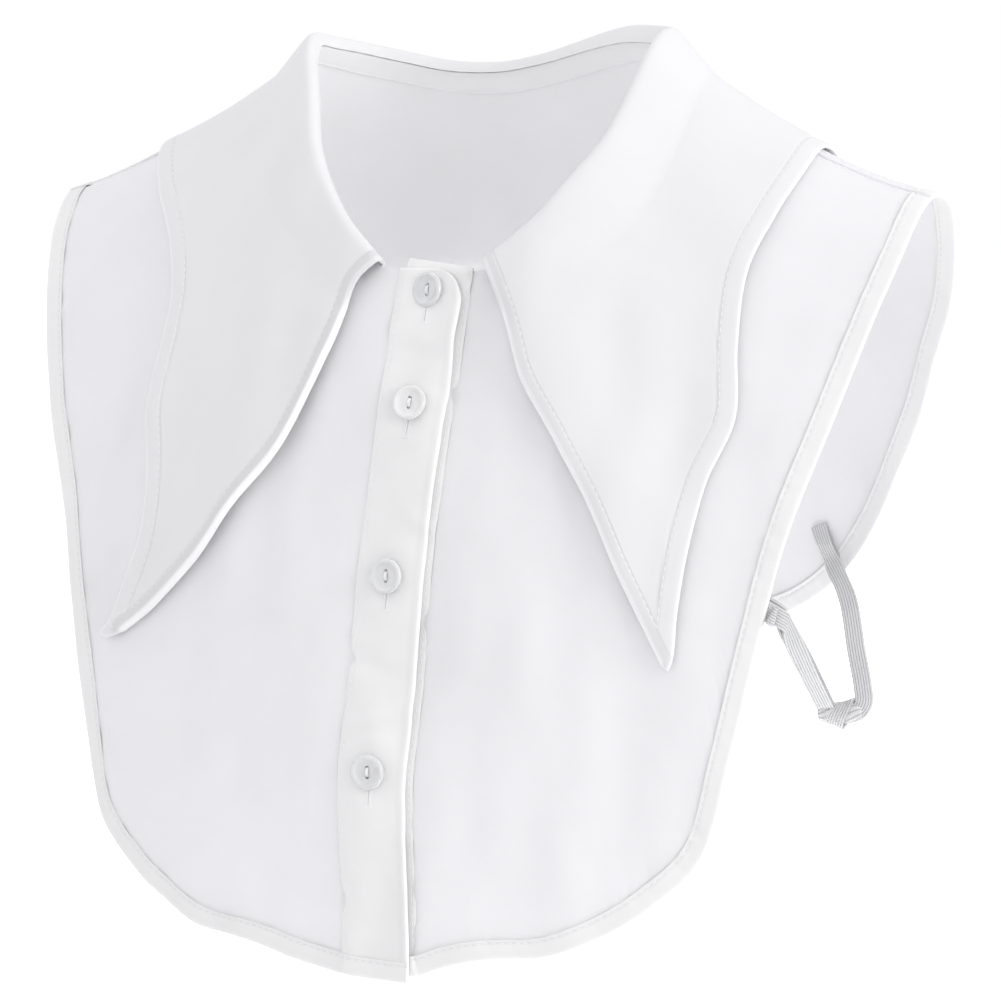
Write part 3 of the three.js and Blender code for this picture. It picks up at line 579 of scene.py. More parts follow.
# Rows of points: 0 to 1 under the neck facing, to 2 across the panel, to 3 inside the binding.
rows = np.concatenate([
    np.linspace(0, 1, 8), np.linspace(1, 1.9, 92)[1:], np.linspace(1.9, 2, 18)[1:], np.linspace(2, 3, 9)[1:]])
front_length = 0.48
for side, name, node in ((-1, "bib_front_right", "front_right"), (1, "bib_front_left", "front_left")):
    edge_line = front_lines[side]
    end, seam = (0.0, seam_right) if side < 0 else (1.0, seam_left)
    shift = band_shift(side)
    start = first_share(
        edge_line, lambda x, s: side * (x - button_line(s) - shift) > placket_width / 2 + 0.001)
    share = start + (1 - start) * np.linspace(0, 1, 300)
    fold_share = end + (seam - end) * (share - start) / (1 - start)
    places, inside = panel_grid(edge_line, share, fold_share, -side, rows)

    # The edge beside the band follows the band's sway, and the cloth goes on into its slot.
    low = places[0, 0, 1]
    down = (places[..., 1] - low) / (front_drop - low)
    top = placket_top + neck_inset
    straight = button_line(top) + (button_line(front_drop) - button_line(top)) * down
    fade = (1 - smooth(start, 0.2, share))[:, None] * (1 - smooth(1.8, 2, rows))[None]
    places[..., 0] += (button_line(places[..., 1]) - straight) * fade
    hem = front_drop - edge_inset
    seam_s = top + (hem - top) * (places[0, :, 1] - low) / (hem - low)
    first = np.stack([seam_x(seam_s, side), seam_s], -1)
    steps = np.linspace(0, 1, 7)[:-1, None, None]
    places = np.concatenate([first[None] * (1 - steps) + places[:1] * steps, places])
    inside = np.concatenate([np.repeat(inside[:1], len(steps), 0), inside])
    share = np.concatenate([np.full(len(steps), start), share])
    places[-1, :, 1] = seam_forward - 0.0004

    x, s = places[..., 0], places[..., 1]
    relief = pucker(np.broadcast_to(share[:, None], x.shape) * front_length, inside, 20 + side)
    by_band = np.abs(x - button_line(s) - shift) - placket_width / 2
    pull = ripples(s, x * 0.3, (0.0095, 0.017, 0.031), 40 + side) * np.exp(-np.maximum(by_band, 0) / 0.009)
    relief = relief + 0.00022 * pull * smooth(0, 0.003, inside)
    panel_piece(name, node, places, relief, side)

back_length = 0.9
back_share = np.linspace(0, 1, 380)
fold_share = seam_right + (seam_left - seam_right) * back_share
places, inside = panel_grid(back_line, back_share, fold_share, 1, rows)
relief = pucker(np.broadcast_to(back_share[:, None], inside.shape) * back_length, inside, 31)
seam_fold = 0.0007 * smooth(seam_forward - 0.0045, seam_forward - 0.0008, places[..., 1])
back_piece = panel_piece("bib_back", "back", places, relief + seam_fold)


# The button bands: a strip of the same poplin on each front edge, folded in half over the raw edge
# and sewn along it. The top band has a rounded upper corner and four upright buttonholes; the under
# band reaches a little higher, with a slanted and puffed top end.
ply_wall = 0.0004
band_half = 0.00085
placket_tail = 0.0015
placket_corner = 0.011
under_rise = 0.0035
button_drops = (0.111, 0.148, 0.203, 0.265)
slit_above = 0.0024
slit_below = 0.0102
slit_half = 0.00007
band_stitch = 0.0014
band_finish = cloth_finish("pressed_band_poplin", (0.850, 0.848, 0.848), (0.828, 0.826, 0.828), 0.28, 0.10)

# The soft folds across the top band: down the front, lean, reach and height.
band_folds = (
    (0.1165, -0.55, 0.0026, 0.0007), (0.1270, 0.20, 0.0034, 0.0005), (0.1385, 0.45, 0.0030, -0.0005),
    (0.1600, -0.35, 0.0040, 0.0004), (0.1810, 0.50, 0.0032, 0.0005), (0.2160, -0.45, 0.0038, 0.0005),
    (0.2330, 0.30, 0.0034, -0.0005), (0.2480, -0.30, 0.0034, 0.0005), (0.2820, 0.35, 0.0042, 0.0006),
    (0.3030, -0.25, 0.0046, -0.0004),
)
# Where the top band's free edge stands off: down the front, reach and height.
edge_lifts = ((0.126, 0.0085, 0.0019), (0.176, 0.012, 0.0008), (0.236, 0.014, 0.0007), (0.302, 0.016, 0.0010))


def hump(a, place, reach):
    """A soft hump, 1 high at its place."""
    return np.exp(-((a - place) / reach) ** 2)


def band_relief(x, s, side):
    """Pulls and puckers of the band: it is drawn in at each button and stands off between them."""
    across = (x - button_line(s)) / (placket_width / 2)
    relief = 0.00013 * ripples(s, x * 0.6, (0.0078, 0.0123, 0.019), 60 + side)
    relief = relief + 0.00028 * ripples(s, x * 0.8, (0.038, 0.054, 0.027), 70 + side)
    for drop in button_drops:
        way = np.hypot((s - drop - 0.001) / 0.007, across * placket_width / 2 / 0.0065)
        relief = relief - 0.00035 * hump(way, 0, 1)
        relief = relief + 0.00028 * hump(way, 1.5, 0.5)
    for drop, lean, reach, height in band_folds:
        way = (s - drop - lean * across * placket_width / 2) / reach
        relief = relief + height * hump(way, 0, 1) * (0.55 + 0.45 * np.cos(across * 2 + drop * 300))
    if side < 0:
        for drop, reach, height in edge_lifts:
            relief = relief + height * hump(s, drop, reach) * smooth(0.1, 1.0, across) ** 1.5
    return relief


def band_columns():
    """Places across a band, closer together at its seam and beside the buttonholes."""
    middle = placket_width / 2
    seam = [0, 0.0001, 0.00025, 0.0005, 0.0008, 0.0011, band_stitch, 0.0018]
    fine = [-0.0012, -0.0009, -0.0006, -0.0003, -slit_half, slit_half, 0.0003, 0.0006, 0.0009, 0.0012]
    left = np.linspace(0.0024, middle - 0.0018, 15)
    right = np.linspace(middle + 0.0018, placket_width - band_half, 17)
    return np.concatenate([seam, left, middle + np.array(fine), right])


def corner_width(below):
    """How wide the top band is at a depth below its top, where its corner is rounded."""
    q = np.clip(below / placket_corner, 0, 1)
    return placket_width - placket_corner * (1 - np.sqrt(1 - (1 - q) ** 2))


def add_values(mesh, name, values):
    """Stores a number at each point of a mesh."""
    values = np.asarray(values, np.float32).ravel()
    mesh.attributes.new(name, "FLOAT", "POINT").data.foreach_set("value", values)


def ring_faces(stations, count):
    """The numbers of the points of a row of rings, and the faces between neighbouring rings."""
    index = np.arange(stations * count).reshape(stations, count)
    following = np.roll(index, -1, 1)
    return index, np.stack([index[:-1], following[:-1], following[1:], index[1:]], -1)


def band_piece(name, node, side, top, bottom, slits):
    """A folded band whose closed section runs down from top to bottom, with a wall round each slit."""
    columns = band_columns()
    top_rows = top + np.array([
        0, 0.0001, 0.0003, 0.0006, 0.001, 0.0016, 0.0024, 0.0034, 0.0046, 0.006, 0.0075, 0.009])
    end_rows = bottom - np.array([0.0006, 0.0003, 0.0001, 0])
    middle_rows = np.arange(top + 0.010, bottom - 0.0008, 0.00075)
    s = np.unique(np.round(np.concatenate([top_rows, middle_rows, end_rows]), 7))
    width = corner_width(s - top) if slits else np.full(s.shape, placket_width)
    fixed = placket_width / 2 + slit_half
    squeeze = (width - band_half - fixed) / (placket_width - band_half - fixed)
    beyond = fixed + (columns[None] - fixed) * squeeze[:, None]
    e = np.where(columns[None] <= fixed + 1e-9, columns[None], beyond)
    top_round, end_round = 0.0007 if slits else 0.0018, 0.0007
    near_end = np.minimum(np.minimum((s - top) / top_round, (bottom - s) / end_round), 1)
    half = band_half * (0.45 + 0.55 * np.sqrt(1 - (1 - near_end) ** 2))[:, None]
    rise = 1 - 0.58 * np.exp(-e / 0.0017)
    upper = half * rise - 0.00008 * hump(e, band_stitch, 0.0003)
    arc = np.radians(np.linspace(75, -75, 7))
    fold_e = e[:, -1:] + half * np.cos(arc)[None]
    fold_n = half * np.sin(arc)[None]
    slot = np.full((len(s), 1), placket_slot + 0.0005)
    zero = np.zeros((len(s), 1))
    mouth, lip = upper[:, :1] * 0.8, half - ply_wall
    all_e = np.concatenate([e, fold_e, e[:, ::-1], zero, slot, slot, zero], 1)
    all_n = np.concatenate([upper, fold_n, -upper[:, ::-1], -mouth, -lip, lip, mouth], 1)
    s_grid = np.broadcast_to(s[:, None], all_e.shape)
    if side > 0:
        all_e = placket_width - all_e
    x = button_line(s_grid) + band_shift(side) - placket_width / 2 + all_e
    relief = band_relief(x, s_grid, side)
    if not slits:
        s_grid = s_grid + (0.0030 * all_e / placket_width - 0.0006) * hump(s_grid, top, 0.006)
        relief = relief + 0.0007 * np.exp(-((s_grid - top - 0.0030) / 0.0022) ** 2)
    points = on_cloth(x, s_grid, all_n + relief, side)

    count = all_e.shape[1]
    index, quads = ring_faces(len(s), count)
    keep = np.ones(quads.shape[:2], bool)
    near = int(np.argmin(np.abs(columns - (placket_width / 2 - slit_half))))
    far = count - 1 - 4 - (near + 1)
    walls = []
    for drop in slits:
        first = int(np.searchsorted(s, drop - slit_above))
        last = int(np.searchsorted(s, drop + slit_below))
        keep[first:last, [near, far]] = False
        down, back_up = slice(first, last + 1), slice(last, first - 1, -1)
        top_ring = np.concatenate([index[down, near], index[back_up, near + 1]])
        low_ring = np.concatenate([index[down, far + 1], index[back_up, far]])
        walls.append(np.stack([np.roll(top_ring, -1), np.roll(low_ring, -1), low_ring, top_ring], -1))
    faces = np.vstack([quads[keep]] + walls)
    uv = np.stack([all_e, s_grid + all_n], -1).reshape(-1, 2)
    piece = mesh_object(name, points.reshape(-1, 3), faces, uv, caps=(index[0][::-1], index[-1]))
    # Painted light on the band: a painted highlight along its free edge and the top band's top, and a line of
    # painted shade 2.2 mm inside the free edge.
    free = np.abs(placket_width - all_e) if side < 0 else np.abs(all_e)
    top_edge = (s_grid - top) if slits else s_grid
    painted_highlight = 0.5 * hump(np.minimum(free, top_edge), 0, 0.0006)
    add_values(piece.data, "edge", painted_highlight - 0.4 * hump(free, 0.0022, 0.0009))
    return finish_piece(piece, band_finish, node)


band_end = front_drop + placket_tail
upper_band = band_piece("button_band_top", "placket_upper", -1, placket_top, band_end, button_drops)
under_band = band_piece(
    "button_band_under", "placket_under", 1, placket_top - under_rise, band_end - 0.0015, ())


# The neck facing: a narrow bias strip of poplin that covers the neck seam inside the bib, with its
# lower edge turned under.
facing_length = 0.37
facing_share = np.linspace(0.0015, 0.9985, 560)[:, None]
facing_e = np.array([
    0.0003, 0.0006, 0.0030, 0.0060, 0.0068, 0.0072, 0.0076, 0.0082, 0.0085, facing_width,
    0.0085, 0.0082, 0.0060, 0.0030, 0.0006, 0.0003])
facing_n = np.array([
    -0.00020, -0.0004, -0.0004, -0.0004, -0.00034, -0.00028, -0.00034, -0.0004, -0.00034, -0.0002,
    -0.00006, 0, 0, 0, 0, -0.00005]) - panel_wall / 2 - 0.00008


def tube_object(name, rings, uv):
    """A closed body through a row of rings of points, with a cap at each end."""
    index, quads = ring_faces(*rings.shape[:2])
    caps = (index[0][::-1], index[-1])
    return mesh_object(name, rings.reshape(-1, 3), quads.reshape(-1, 4), uv.reshape(-1, 2), caps)


def on_either_front(x, s, n):
    """Points above the cloth, on the right front's lap or the left one's by the button line."""
    return np.where((x < button_line(s))[..., None], on_cloth(x, s, n, -1), on_cloth(x, s, n, 1))


share_grid, e_grid = np.broadcast_arrays(facing_share, facing_e)
places = beside(fold_line, share_grid, -e_grid)
heights = facing_n + 0.00008 * ripples(share_grid * facing_length, 0 * share_grid, (0.006, 0.011), 5)
facing_points = on_either_front(places[..., 0], places[..., 1], heights)
facing_piece = tube_object(
    "neck_facing_strip", facing_points, np.stack([share_grid * facing_length, e_grid], -1))
# The facing's colour is set well darker than the bands' poplin, to the tone of the inside of the neck:
# painted shade.
shaded_facing_finish = cloth_finish("shaded_bias_facing_poplin", (0.715, 0.712, 0.722), (0.70, 0.697, 0.707), 0.28, 0.10)
finish_piece(facing_piece, shaded_facing_finish, "neck_facing")


# The collar: two plies of poplin with light interfacing, sewn right sides together, turned out
# and pressed. It rises from the neck seam, rolls over and lies on the bib to two long points, and
# is topstitched all round its outer and front edges.
collar_wall = 0.0011
collar_span = 0.121
collar_front = 0.195
collar_back = 0.114
roll_rise = 0.0047
roll_reach = 0.018
front_lift = 0.0036
edge_lift = 0.0008
wave_height = 0.0005
bed_height = 0.0013
outer_stitch = 0.0065
front_stitch = 0.0046
rim_width = 0.0013
# The outer edge, from the wearer's right point round the back to the left one: shares of the
# collar's span and of its drop in front or behind.
collar_outline = (
    (-0.829, 0.967), (-0.892, 0.958), (-0.918, 0.943), (-0.884, 0.930), (-0.858, 0.908), (-0.830, 0.876),
    (-0.791, 0.828), (-0.778, 0.767), (-0.785, 0.690), (-0.806, 0.590), (-0.785, 0.470), (-0.785, 0.390),
    (-0.835, 0.272), (-0.926, 0.149), (-1.000, 0.010), (-0.975, -0.180), (-0.900, -0.400), (-0.760, -0.640),
    (-0.560, -0.840), (-0.300, -0.965), (0.000, -1.000), (0.300, -0.965), (0.560, -0.840), (0.760, -0.640),
    (0.900, -0.400), (0.980, -0.180), (1.000, 0.050), (0.960, 0.174), (0.915, 0.300), (0.920, 0.420),
    (0.940, 0.530), (0.880, 0.660), (0.845, 0.790), (0.830, 0.894), (0.824, 0.963), (0.810, 0.986),
    (0.791, 0.982),
)
# How far each front edge swells towards the opening, as shares of its length.
bulge_along = np.array([0.00, 0.08, 0.20, 0.34, 0.50, 0.64, 0.78, 0.92, 1.00])
bulge_right = np.array([0.000, 0.002, 0.066, 0.130, 0.182, 0.174, 0.136, 0.058, 0.000])
bulge_left = np.array([0.000, 0.010, 0.030, 0.060, 0.036, 0.008, 0.006, 0.003, 0.000])
# The roll at the neck in section, from the seam up and over: shares of its reach and rise.
roll_section = (
    (0.012, -0.040), (-0.020, 0.300), (-0.030, 0.640), (-0.012, 0.890),
    (0.045, 1.000), (0.150, 0.985), (0.330, 0.860), (0.610, 0.640),
)
collar_line = smooth_line([
    (across * collar_span, drop * (collar_front if drop > 0 else collar_back))
    for across, drop in collar_outline])
roll_line = smooth_line(
    [(out * roll_reach, up * roll_rise) for out, up in roll_section] + [(roll_reach, bed_height)])[0]


def bulge_at(v, amount):
    """A front edge's swell at a share of its length: a smooth cubic through its rows."""
    last = len(bulge_along) - 1
    i = np.clip(np.searchsorted(bulge_along, v, side="left"), 1, last)
    before, after = np.maximum(np.arange(last + 1) - 1, 0), np.minimum(np.arange(last + 1) + 1, last)
    slope = (amount[after] - amount[before]) / (bulge_along[after] - bulge_along[before])
    step = bulge_along[i] - bulge_along[i - 1]
    q = np.clip((v - bulge_along[i - 1]) / step, 0, 1)
    lean = step * q * (1 - q) * ((1 - q) * slope[i - 1] - q * slope[i])
    return amount[i - 1] + (amount[i] - amount[i - 1]) * q * q * (3 - 2 * q) + lean


def collar_plan(u, e):
    """The place on the body under a point of the collar, e along its column from the fold."""
    neck, edge = at(fold_line, u), at(collar_line, u)
    way = edge[..., :2] - neck[..., :2]
    length = np.linalg.norm(way, axis=-1)
    way = way / length[..., None]
    v = np.maximum(e / length, 0)
    bulge = np.where(u < 0.5, bulge_at(v, bulge_right), bulge_at(v, bulge_left))
    bulge = bulge * length * (1 - smooth(0, 0.16, np.minimum(u, 1 - u))) * np.where(u < 0.5, 1, -1)
    x = neck[..., 0] + way[..., 0] * e + way[..., 1] * bulge
    return x, neck[..., 1] + way[..., 1] * e - way[..., 0] * bulge


def collar_height(u, v):
    """How high the flat part of the collar lies above the body's cloth."""
    end = np.minimum(u, 1 - u)
    arch = np.maximum(np.sin(math.pi * np.clip(v, 0, 1)), 0) ** 0.8
    front = front_lift * (1 - smooth(0, 0.09, end)) * arch
    wave = wave_height * (1 - smooth(0.16, 0.3, end)) * np.sin(end * 40) ** 2 * smooth(0.3, 1, v)
    lift = edge_lift * smooth(0.55, 1, v) * (1 - 0.9 * smooth(0.24, 0.34, end))
    return bed_height + front + lift + wave


def crowded(count, places, reach, times):
    """Shares from 0 to 1 that crowd round given places."""
    fine = np.linspace(0, 1, 4001)
    weight = 1 + times * sum(hump(fine, place, reach) for place in places)
    total = np.concatenate([[0], np.cumsum((weight[1:] + weight[:-1]) / 2)])
    return np.interp(np.linspace(0, total[-1], count), total, fine)


def nearest_distance(points, line_points):
    """The distance of each point to a line given by close points."""
    tree = kdtree.KDTree(len(line_points))
    for i, p in enumerate(line_points):
        tree.insert(p, i)
    tree.balance()
    found = [tree.find(p)[2] for p in points.reshape(-1, 3)]
    return np.array(found).reshape(points.shape[:-1])


# A column of points runs from the neck seam over the roll (e and n follow roll_line) and on along
# the flat part, with the points crowded towards the outer edge.
collar_u = crowded(520, [0, 1], 0.012, 9)
u = collar_u[:, None]
edge_distances = np.array([
    10, 8.6, 7.8, 7.2, 6.9, 6.7, 6.5, 6.3, 6.1, 5.8, 5.2, 4.4, 3.4, 2.4, 1.6, 1.1, 0.75, 0.45, 0.24,
    0.1, 0.03, 0]) * 0.001
middle_f = np.linspace(0, 1, 42)[1:-1]
fold_at_u = at(fold_line, collar_u)
length = np.linalg.norm(at(collar_line, collar_u)[:, :2] - fold_at_u[:, :2], axis=1)[:, None]
rise = fold_at_u[:, 2:3] / rise_scale
roll_t = np.linspace(0, 1, 24)
roll_index = roll_t * (len(roll_line) - 1)
roll_e, roll_n = (np.interp(roll_index, np.arange(len(roll_line)), roll_line[:, k])[None] for k in (0, 1))
slope_e, slope_n = (
    np.interp(roll_index, np.arange(len(roll_line)), np.gradient(roll_line[:, k])) for k in (0, 1))
tilt_size = np.hypot(slope_e, slope_n)
late = smooth(0.3, 1, roll_t)[None]
flat_start = roll_reach + (length - edge_distances[0] - roll_reach) * middle_f[None]
flat_e = np.concatenate([flat_start, length - edge_distances[None]], 1)
middle_e = np.concatenate([np.broadcast_to(roll_e, (len(collar_u), len(roll_t))), flat_e], 1)
roll_height = roll_n * (rise + (1 - rise) * late) + (collar_height(u, roll_e / length) - bed_height) * late
middle_n = np.concatenate([roll_height, collar_height(u, flat_e / length)], 1)
lean_e = np.concatenate([-slope_n / tilt_size, np.zeros(flat_e.shape[1])])[None]
lean_n = np.concatenate([slope_e / tilt_size, np.ones(flat_e.shape[1])])[None]

base_places = np.stack(collar_plan(np.broadcast_to(u, middle_e.shape), middle_e), -1)
base_x, base_s = base_places[..., 0], base_places[..., 1]
base = body_path(base_places)
outer_rim = body_path(at(collar_line, np.linspace(0, 1, 2400)))
to_outer = nearest_distance(base, outer_rim)
to_front = np.full(to_outer.shape, 1.0)
front_rims = {}
for end in (0.0, 1.0):
    reach = float(np.linalg.norm(at(collar_line, end)[:2] - at(fold_line, end)[:2]))
    way = np.linspace(0, reach, 700)
    front_rims[end] = np.stack(collar_plan(np.full(way.shape, end), way), -1)
    to_front = np.minimum(to_front, nearest_distance(base, body_path(front_rims[end])))

# The leaf is full between its seams, dips along the stitches and thins at its turned edge, which
# bends down in front.
seam_way = np.minimum(to_outer / outer_stitch, to_front / front_stitch)
near_rim = np.clip(np.minimum(to_outer, to_front) / (collar_wall * 0.62), 0, 1)
rounding = np.sqrt(1 - (1 - near_rim) ** 2)
fullness = 0.00016 * smooth(0, 0.35, seam_way) * (1 - smooth(0.75, 1.0, seam_way))
stitch_dip = 0.00022 * hump(seam_way, 1, 0.055)
half = collar_wall / 2 * (0.16 + 0.84 * rounding) + fullness - stitch_dip
puffed = 0.00034 * smooth(front_stitch, rim_width, to_front)
turned_down = np.minimum(0.0013, 0.6 * (middle_n - 0.0010)) * (1 - np.clip(to_front / rim_width, 0, 1)) ** 1.3
curl = (turned_down - puffed) * smooth(0.008, 0.03, middle_e)
edge_noise = 0.00013 * ripples(base_x, base_s, (0.009, 0.014, 0.021, 0.033), 90)
edge_noise = edge_noise * np.exp(-np.minimum(to_outer, to_front * 1.5) / 0.012)
soft = 0.00042 * ripples(base_x, base_s, (0.046, 0.061, 0.035, 0.080), 91) * smooth(0.01, 0.03, middle_e)
middle_n = middle_n - curl + edge_noise + soft


def collar_points(face):
    """The points of the collar's upper face, 1, or lower face, -1."""
    x, s = collar_plan(np.broadcast_to(u, middle_e.shape), middle_e + lean_e * face * half)
    return on_either_front(x, s, middle_n + lean_n * face * half)


collar_finish = cloth_finish(
    "pressed_collar_poplin", (0.800, 0.798, 0.808), (0.782, 0.780, 0.790), 0.26, 0.10)
collar_piece = shell_object("collar_leaf", collar_points(1), collar_points(-1), base_places)
# Painted light on the leaf: a painted highlight along the turned front edges and the outer edge, and painted
# shade in the strip between the front rim and its stitches and along the stitch lines.
painted_rim_highlight = np.exp(-(to_front / 0.0013) ** 4) * smooth(0.012, 0.02, middle_e)
painted_rim_highlight = np.maximum(painted_rim_highlight, 0.8 * hump(to_outer, 0, 0.0007))
inside_seam = 1 - smooth(front_stitch - 0.0002, front_stitch + 0.0004, to_front)
seam_shade = 0.9 * smooth(rim_width, rim_width + 0.0008, to_front) * inside_seam
seam_shade = np.maximum(seam_shade, 0.7 * hump(seam_way, 1, 0.05))
painted_edge_light = painted_rim_highlight - seam_shade * (1 - painted_rim_highlight)
add_values(collar_piece.data, "edge", np.stack([painted_edge_light, painted_edge_light]))
finish_piece(collar_piece, collar_finish, "collar")


# The bindings: bias strips of poplin folded round the armholes and hems, and stitched through all
# layers close to their inner edge. Each front's strip runs on over the foot of its button band.
bind_leg = panel_wall / 2 + 0.00008
bind_thick = bind_leg + 0.00048
bind_round = np.radians(np.linspace(90, -90, 11))
leg_e = np.array([7.0, 6.92, 6.7, 6.3, 5.95, 5.7, 5.45, 5.1, 4.3, 3.4, 2.5, 1.7, 1.1]) * 0.001
leg_n = np.array([0.16, 0.34, 0.40, 0.38, 0.28, 0.22, 0.28, 0.38, 0.42, 0.44, 0.46, 0.48, 0.48]) * 0.001
inner_e = np.array([0.0011, 0.0030, 0.0050, 0.0069])


def binding_piece(name, node, line, share, inward, side, seed, foot=None):
    """foot gives, for each place, how far the strip is opened to take the button band's thickness."""
    opening = np.zeros((len(share), 1)) if foot is None else foot(share)[:, None]
    outer_leg = leg_n[None] + bind_leg + opening
    fold_e = bind_thick * (1 - np.cos(bind_round))
    fold_n = (bind_thick + opening) * np.sin(bind_round)[None]
    inner_n = bind_leg + opening + 0 * inner_e[None]
    section_e = np.concatenate([leg_e, fold_e, leg_e[::-1], inner_e[::-1], inner_e])
    n = np.concatenate([outer_leg, fold_n, -outer_leg[:, ::-1], -inner_n, inner_n], 1)
    share_grid, e = np.broadcast_arrays(share[:, None], section_e)
    places = beside(line, share_grid, inward * e)
    rim = body_path(at(line, np.linspace(0, 1, 900)))
    size = float(np.linalg.norm(np.diff(rim, axis=0), axis=1).sum())
    relief = pucker(share_grid * size, e, seed)
    crumple = 0.00007 * ripples(share_grid * size, e * 1.5, (0.0031, 0.0046, 0.0072, 0.011), seed + 5)
    points = on_cloth(places[..., 0], places[..., 1], n + relief + crumple * np.sign(n), side)
    piece = tube_object(name, points, np.stack([share_grid * size, e + n], -1))
    # Painted light on the binding: a painted highlight along its fold, and painted shade along the stitch
    # line and the inner edge.
    painted_shade_lines = 0.8 * hump(e, 0.0057, 0.0003) + 0.9 * hump(e, bind_width, 0.00022)
    add_values(piece.data, "edge", 0.55 * hump(e, 0, 0.0010) - painted_shade_lines)
    return finish_piece(piece, band_finish, node)


binding_pieces = {}
binding_lines = {0: back_line}
for side, word in ((-1, "right"), (1, "left")):
    tail = placket_tail if side < 0 else 0
    band_x = button_line(front_drop) + band_shift(side)
    foot_rows = [
        (band_x - side * (placket_width / 2 - 0.0002), front_drop + tail + 0.0006),
        (band_x, front_drop + tail + 0.0004),
        (band_x + side * placket_width / 2, front_drop + tail * 0.6),
    ]
    line = smooth_line(foot_rows + bound_edge(side)[::-1])
    binding_lines[side] = line

    def foot(share):
        """The opening over the button band's foot."""
        p = at(line, share)
        into = side * (p[:, 0] - button_line(p[:, 1]) - band_shift(side)) - placket_width / 2
        return (band_half - panel_wall / 2 + 0.0001) * (1 - smooth(-0.0004, 0.0016, into))

    binding_pieces[side] = binding_piece(
        f"armhole_binding_{word}", f"binding_front_{word}", line, np.linspace(0, 1, 620), -side, side,
        20 + side, foot)
binding_pieces[0] = binding_piece(
    "armhole_binding_back", "binding_back", back_line, np.linspace(0, 1, 980), 1, 0, 31)


# The stitching: white polyester thread, about ten stitches to the inch, round the collar and along
# the bindings and bands, with close stitches and end bars round the buttonholes. Each stitch is a
# short padded bead of thread whose ends dip into the cloth.
stitch_pitch = 0.0026
bead_measures = ("Stitch Length", "Thread Width", "Thread Height")
stitch_bead = (0.0019, 0.00034, 0.00026)
thread_finish, tree = new_material("white_thread")
place = add_node(tree, "ShaderNodeTexCoord")
strand = add_node(tree, "ShaderNodeTexNoise", {"Vector": place.outputs["Object"], "Scale": 5200, "Detail": 1})
tint = mix_colours(tree, strand.outputs["Fac"], (0.84, 0.84, 0.85, 1), (0.90, 0.90, 0.91, 1))
twist = add_node(tree, "ShaderNodeBump", {
    "Strength": 0.3, "Distance": 0.00005, "Height": strand.outputs["Fac"]})
show_surface(tree, add_node(tree, "ShaderNodeBsdfPrincipled", {
    "Base Color": tint, "Normal": twist.outputs[0], "Roughness": 0.6, "Sheen Weight": 0.2,
    "Specular IOR Level": 0.35}))


def stitch_tree():
    """Stitches along the edges of a mesh: length, spacing and thickness are inputs."""
    group = bpy.data.node_groups.new("stitch_run", "GeometryNodeTree")
    kinds = [("Geometry", "NodeSocketGeometry"), ("Thread", "NodeSocketMaterial")]
    kinds += [(measure, "NodeSocketFloat") for measure in ("Pitch", *bead_measures)]
    sockets = {}
    for name, kind in kinds:
        sockets[name] = group.interface.new_socket(name=name, in_out="INPUT", socket_type=kind).identifier
    group.interface.new_socket(name="Geometry", in_out="OUTPUT", socket_type="NodeSocketGeometry")
    start = add_node(group, "NodeGroupInput").outputs
    curve = add_node(group, "GeometryNodeMeshToCurve", {"Mesh": start["Geometry"]})
    points = add_node(group, "GeometryNodeResampleCurve", {
        "Curve": curve.outputs[0], "Length": start["Pitch"]}, mode="LENGTH")
    ball = add_node(group, "GeometryNodeMeshUVSphere", {"Segments": 8, "Rings": 5, "Radius": 0.5})
    size = add_node(group, "ShaderNodeCombineXYZ", {
        "X": start["Stitch Length"], "Y": start["Thread Width"], "Z": start["Thread Height"]})
    bead = add_node(group, "GeometryNodeTransform", {
        "Geometry": ball.outputs["Mesh"], "Scale": size.outputs[0]})
    tangent = add_node(group, "GeometryNodeInputTangent")
    out = add_node(group, "GeometryNodeInputNamedAttribute", {"Name": "out"}, data_type="FLOAT_VECTOR")
    aim = add_node(group, "FunctionNodeAlignRotationToVector", {"Vector": tangent.outputs[0]}, axis="X")
    level = add_node(group, "FunctionNodeAlignRotationToVector", {
        "Rotation": aim.outputs[0], "Vector": out.outputs[0]}, axis="Z", pivot_axis="X")
    spread = add_node(group, "GeometryNodeInstanceOnPoints", {
        "Points": points.outputs[0], "Instance": bead.outputs[0], "Rotation": level.outputs[0]})
    solid = add_node(group, "GeometryNodeRealizeInstances", {"Geometry": spread.outputs[0]})
    finish = add_node(group, "GeometryNodeSetMaterial", {
        "Geometry": solid.outputs[0], "Material": start["Thread"]})
    add_node(group, "NodeGroupOutput", {"Geometry": finish.outputs[0]})
    return group, sockets


stitch_group, stitch_sockets = stitch_tree()


def made_mesh(thing):
    """The mesh that an object makes with its modifiers or its curve; the object itself goes."""
    bpy.context.view_layer.update()
    mesh = bpy.data.meshes.new_from_object(thing.evaluated_get(bpy.context.evaluated_depsgraph_get()))
    bpy.data.objects.remove(thing)
    return mesh


def stitch_piece(name, runs, pitch=stitch_pitch, bead=stitch_bead):
    """One mesh of stitches along runs, each a pair of arrays: points and outward directions.
    A bead gives the length, width and height of one stitch."""
    points = np.vstack([run[0] for run in runs])
    outwards = np.vstack([run[1] for run in runs])
    edges, start = [], 0
    for run in runs:
        edges += [(start + i, start + i + 1) for i in range(len(run[0]) - 1)]
        start += len(run[0])
    mesh = bpy.data.meshes.new(name)
    mesh.from_pydata(points.tolist(), edges, [])
    out = mesh.attributes.new("out", "FLOAT_VECTOR", "POINT")
    out.data.foreach_set("vector", outwards.astype(np.float32).ravel())
    path = new_object(name + "_path", mesh)
    modifier = path.modifiers.new("stitches", "NODES")
    modifier.node_group = stitch_group
    values = {"Pitch": pitch, "Thread": thread_finish, **dict(zip(bead_measures, bead))}
    for key, value in values.items():
        modifier[stitch_sockets[key]] = value
    piece = new_object(name, made_mesh(path))
    piece.data.polygons.foreach_set("use_smooth", np.ones(len(piece.data.polygons), bool))
    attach(piece, "root")


def surface_of(piece):
    return BVHTree.FromObject(piece, bpy.context.evaluated_depsgraph_get())


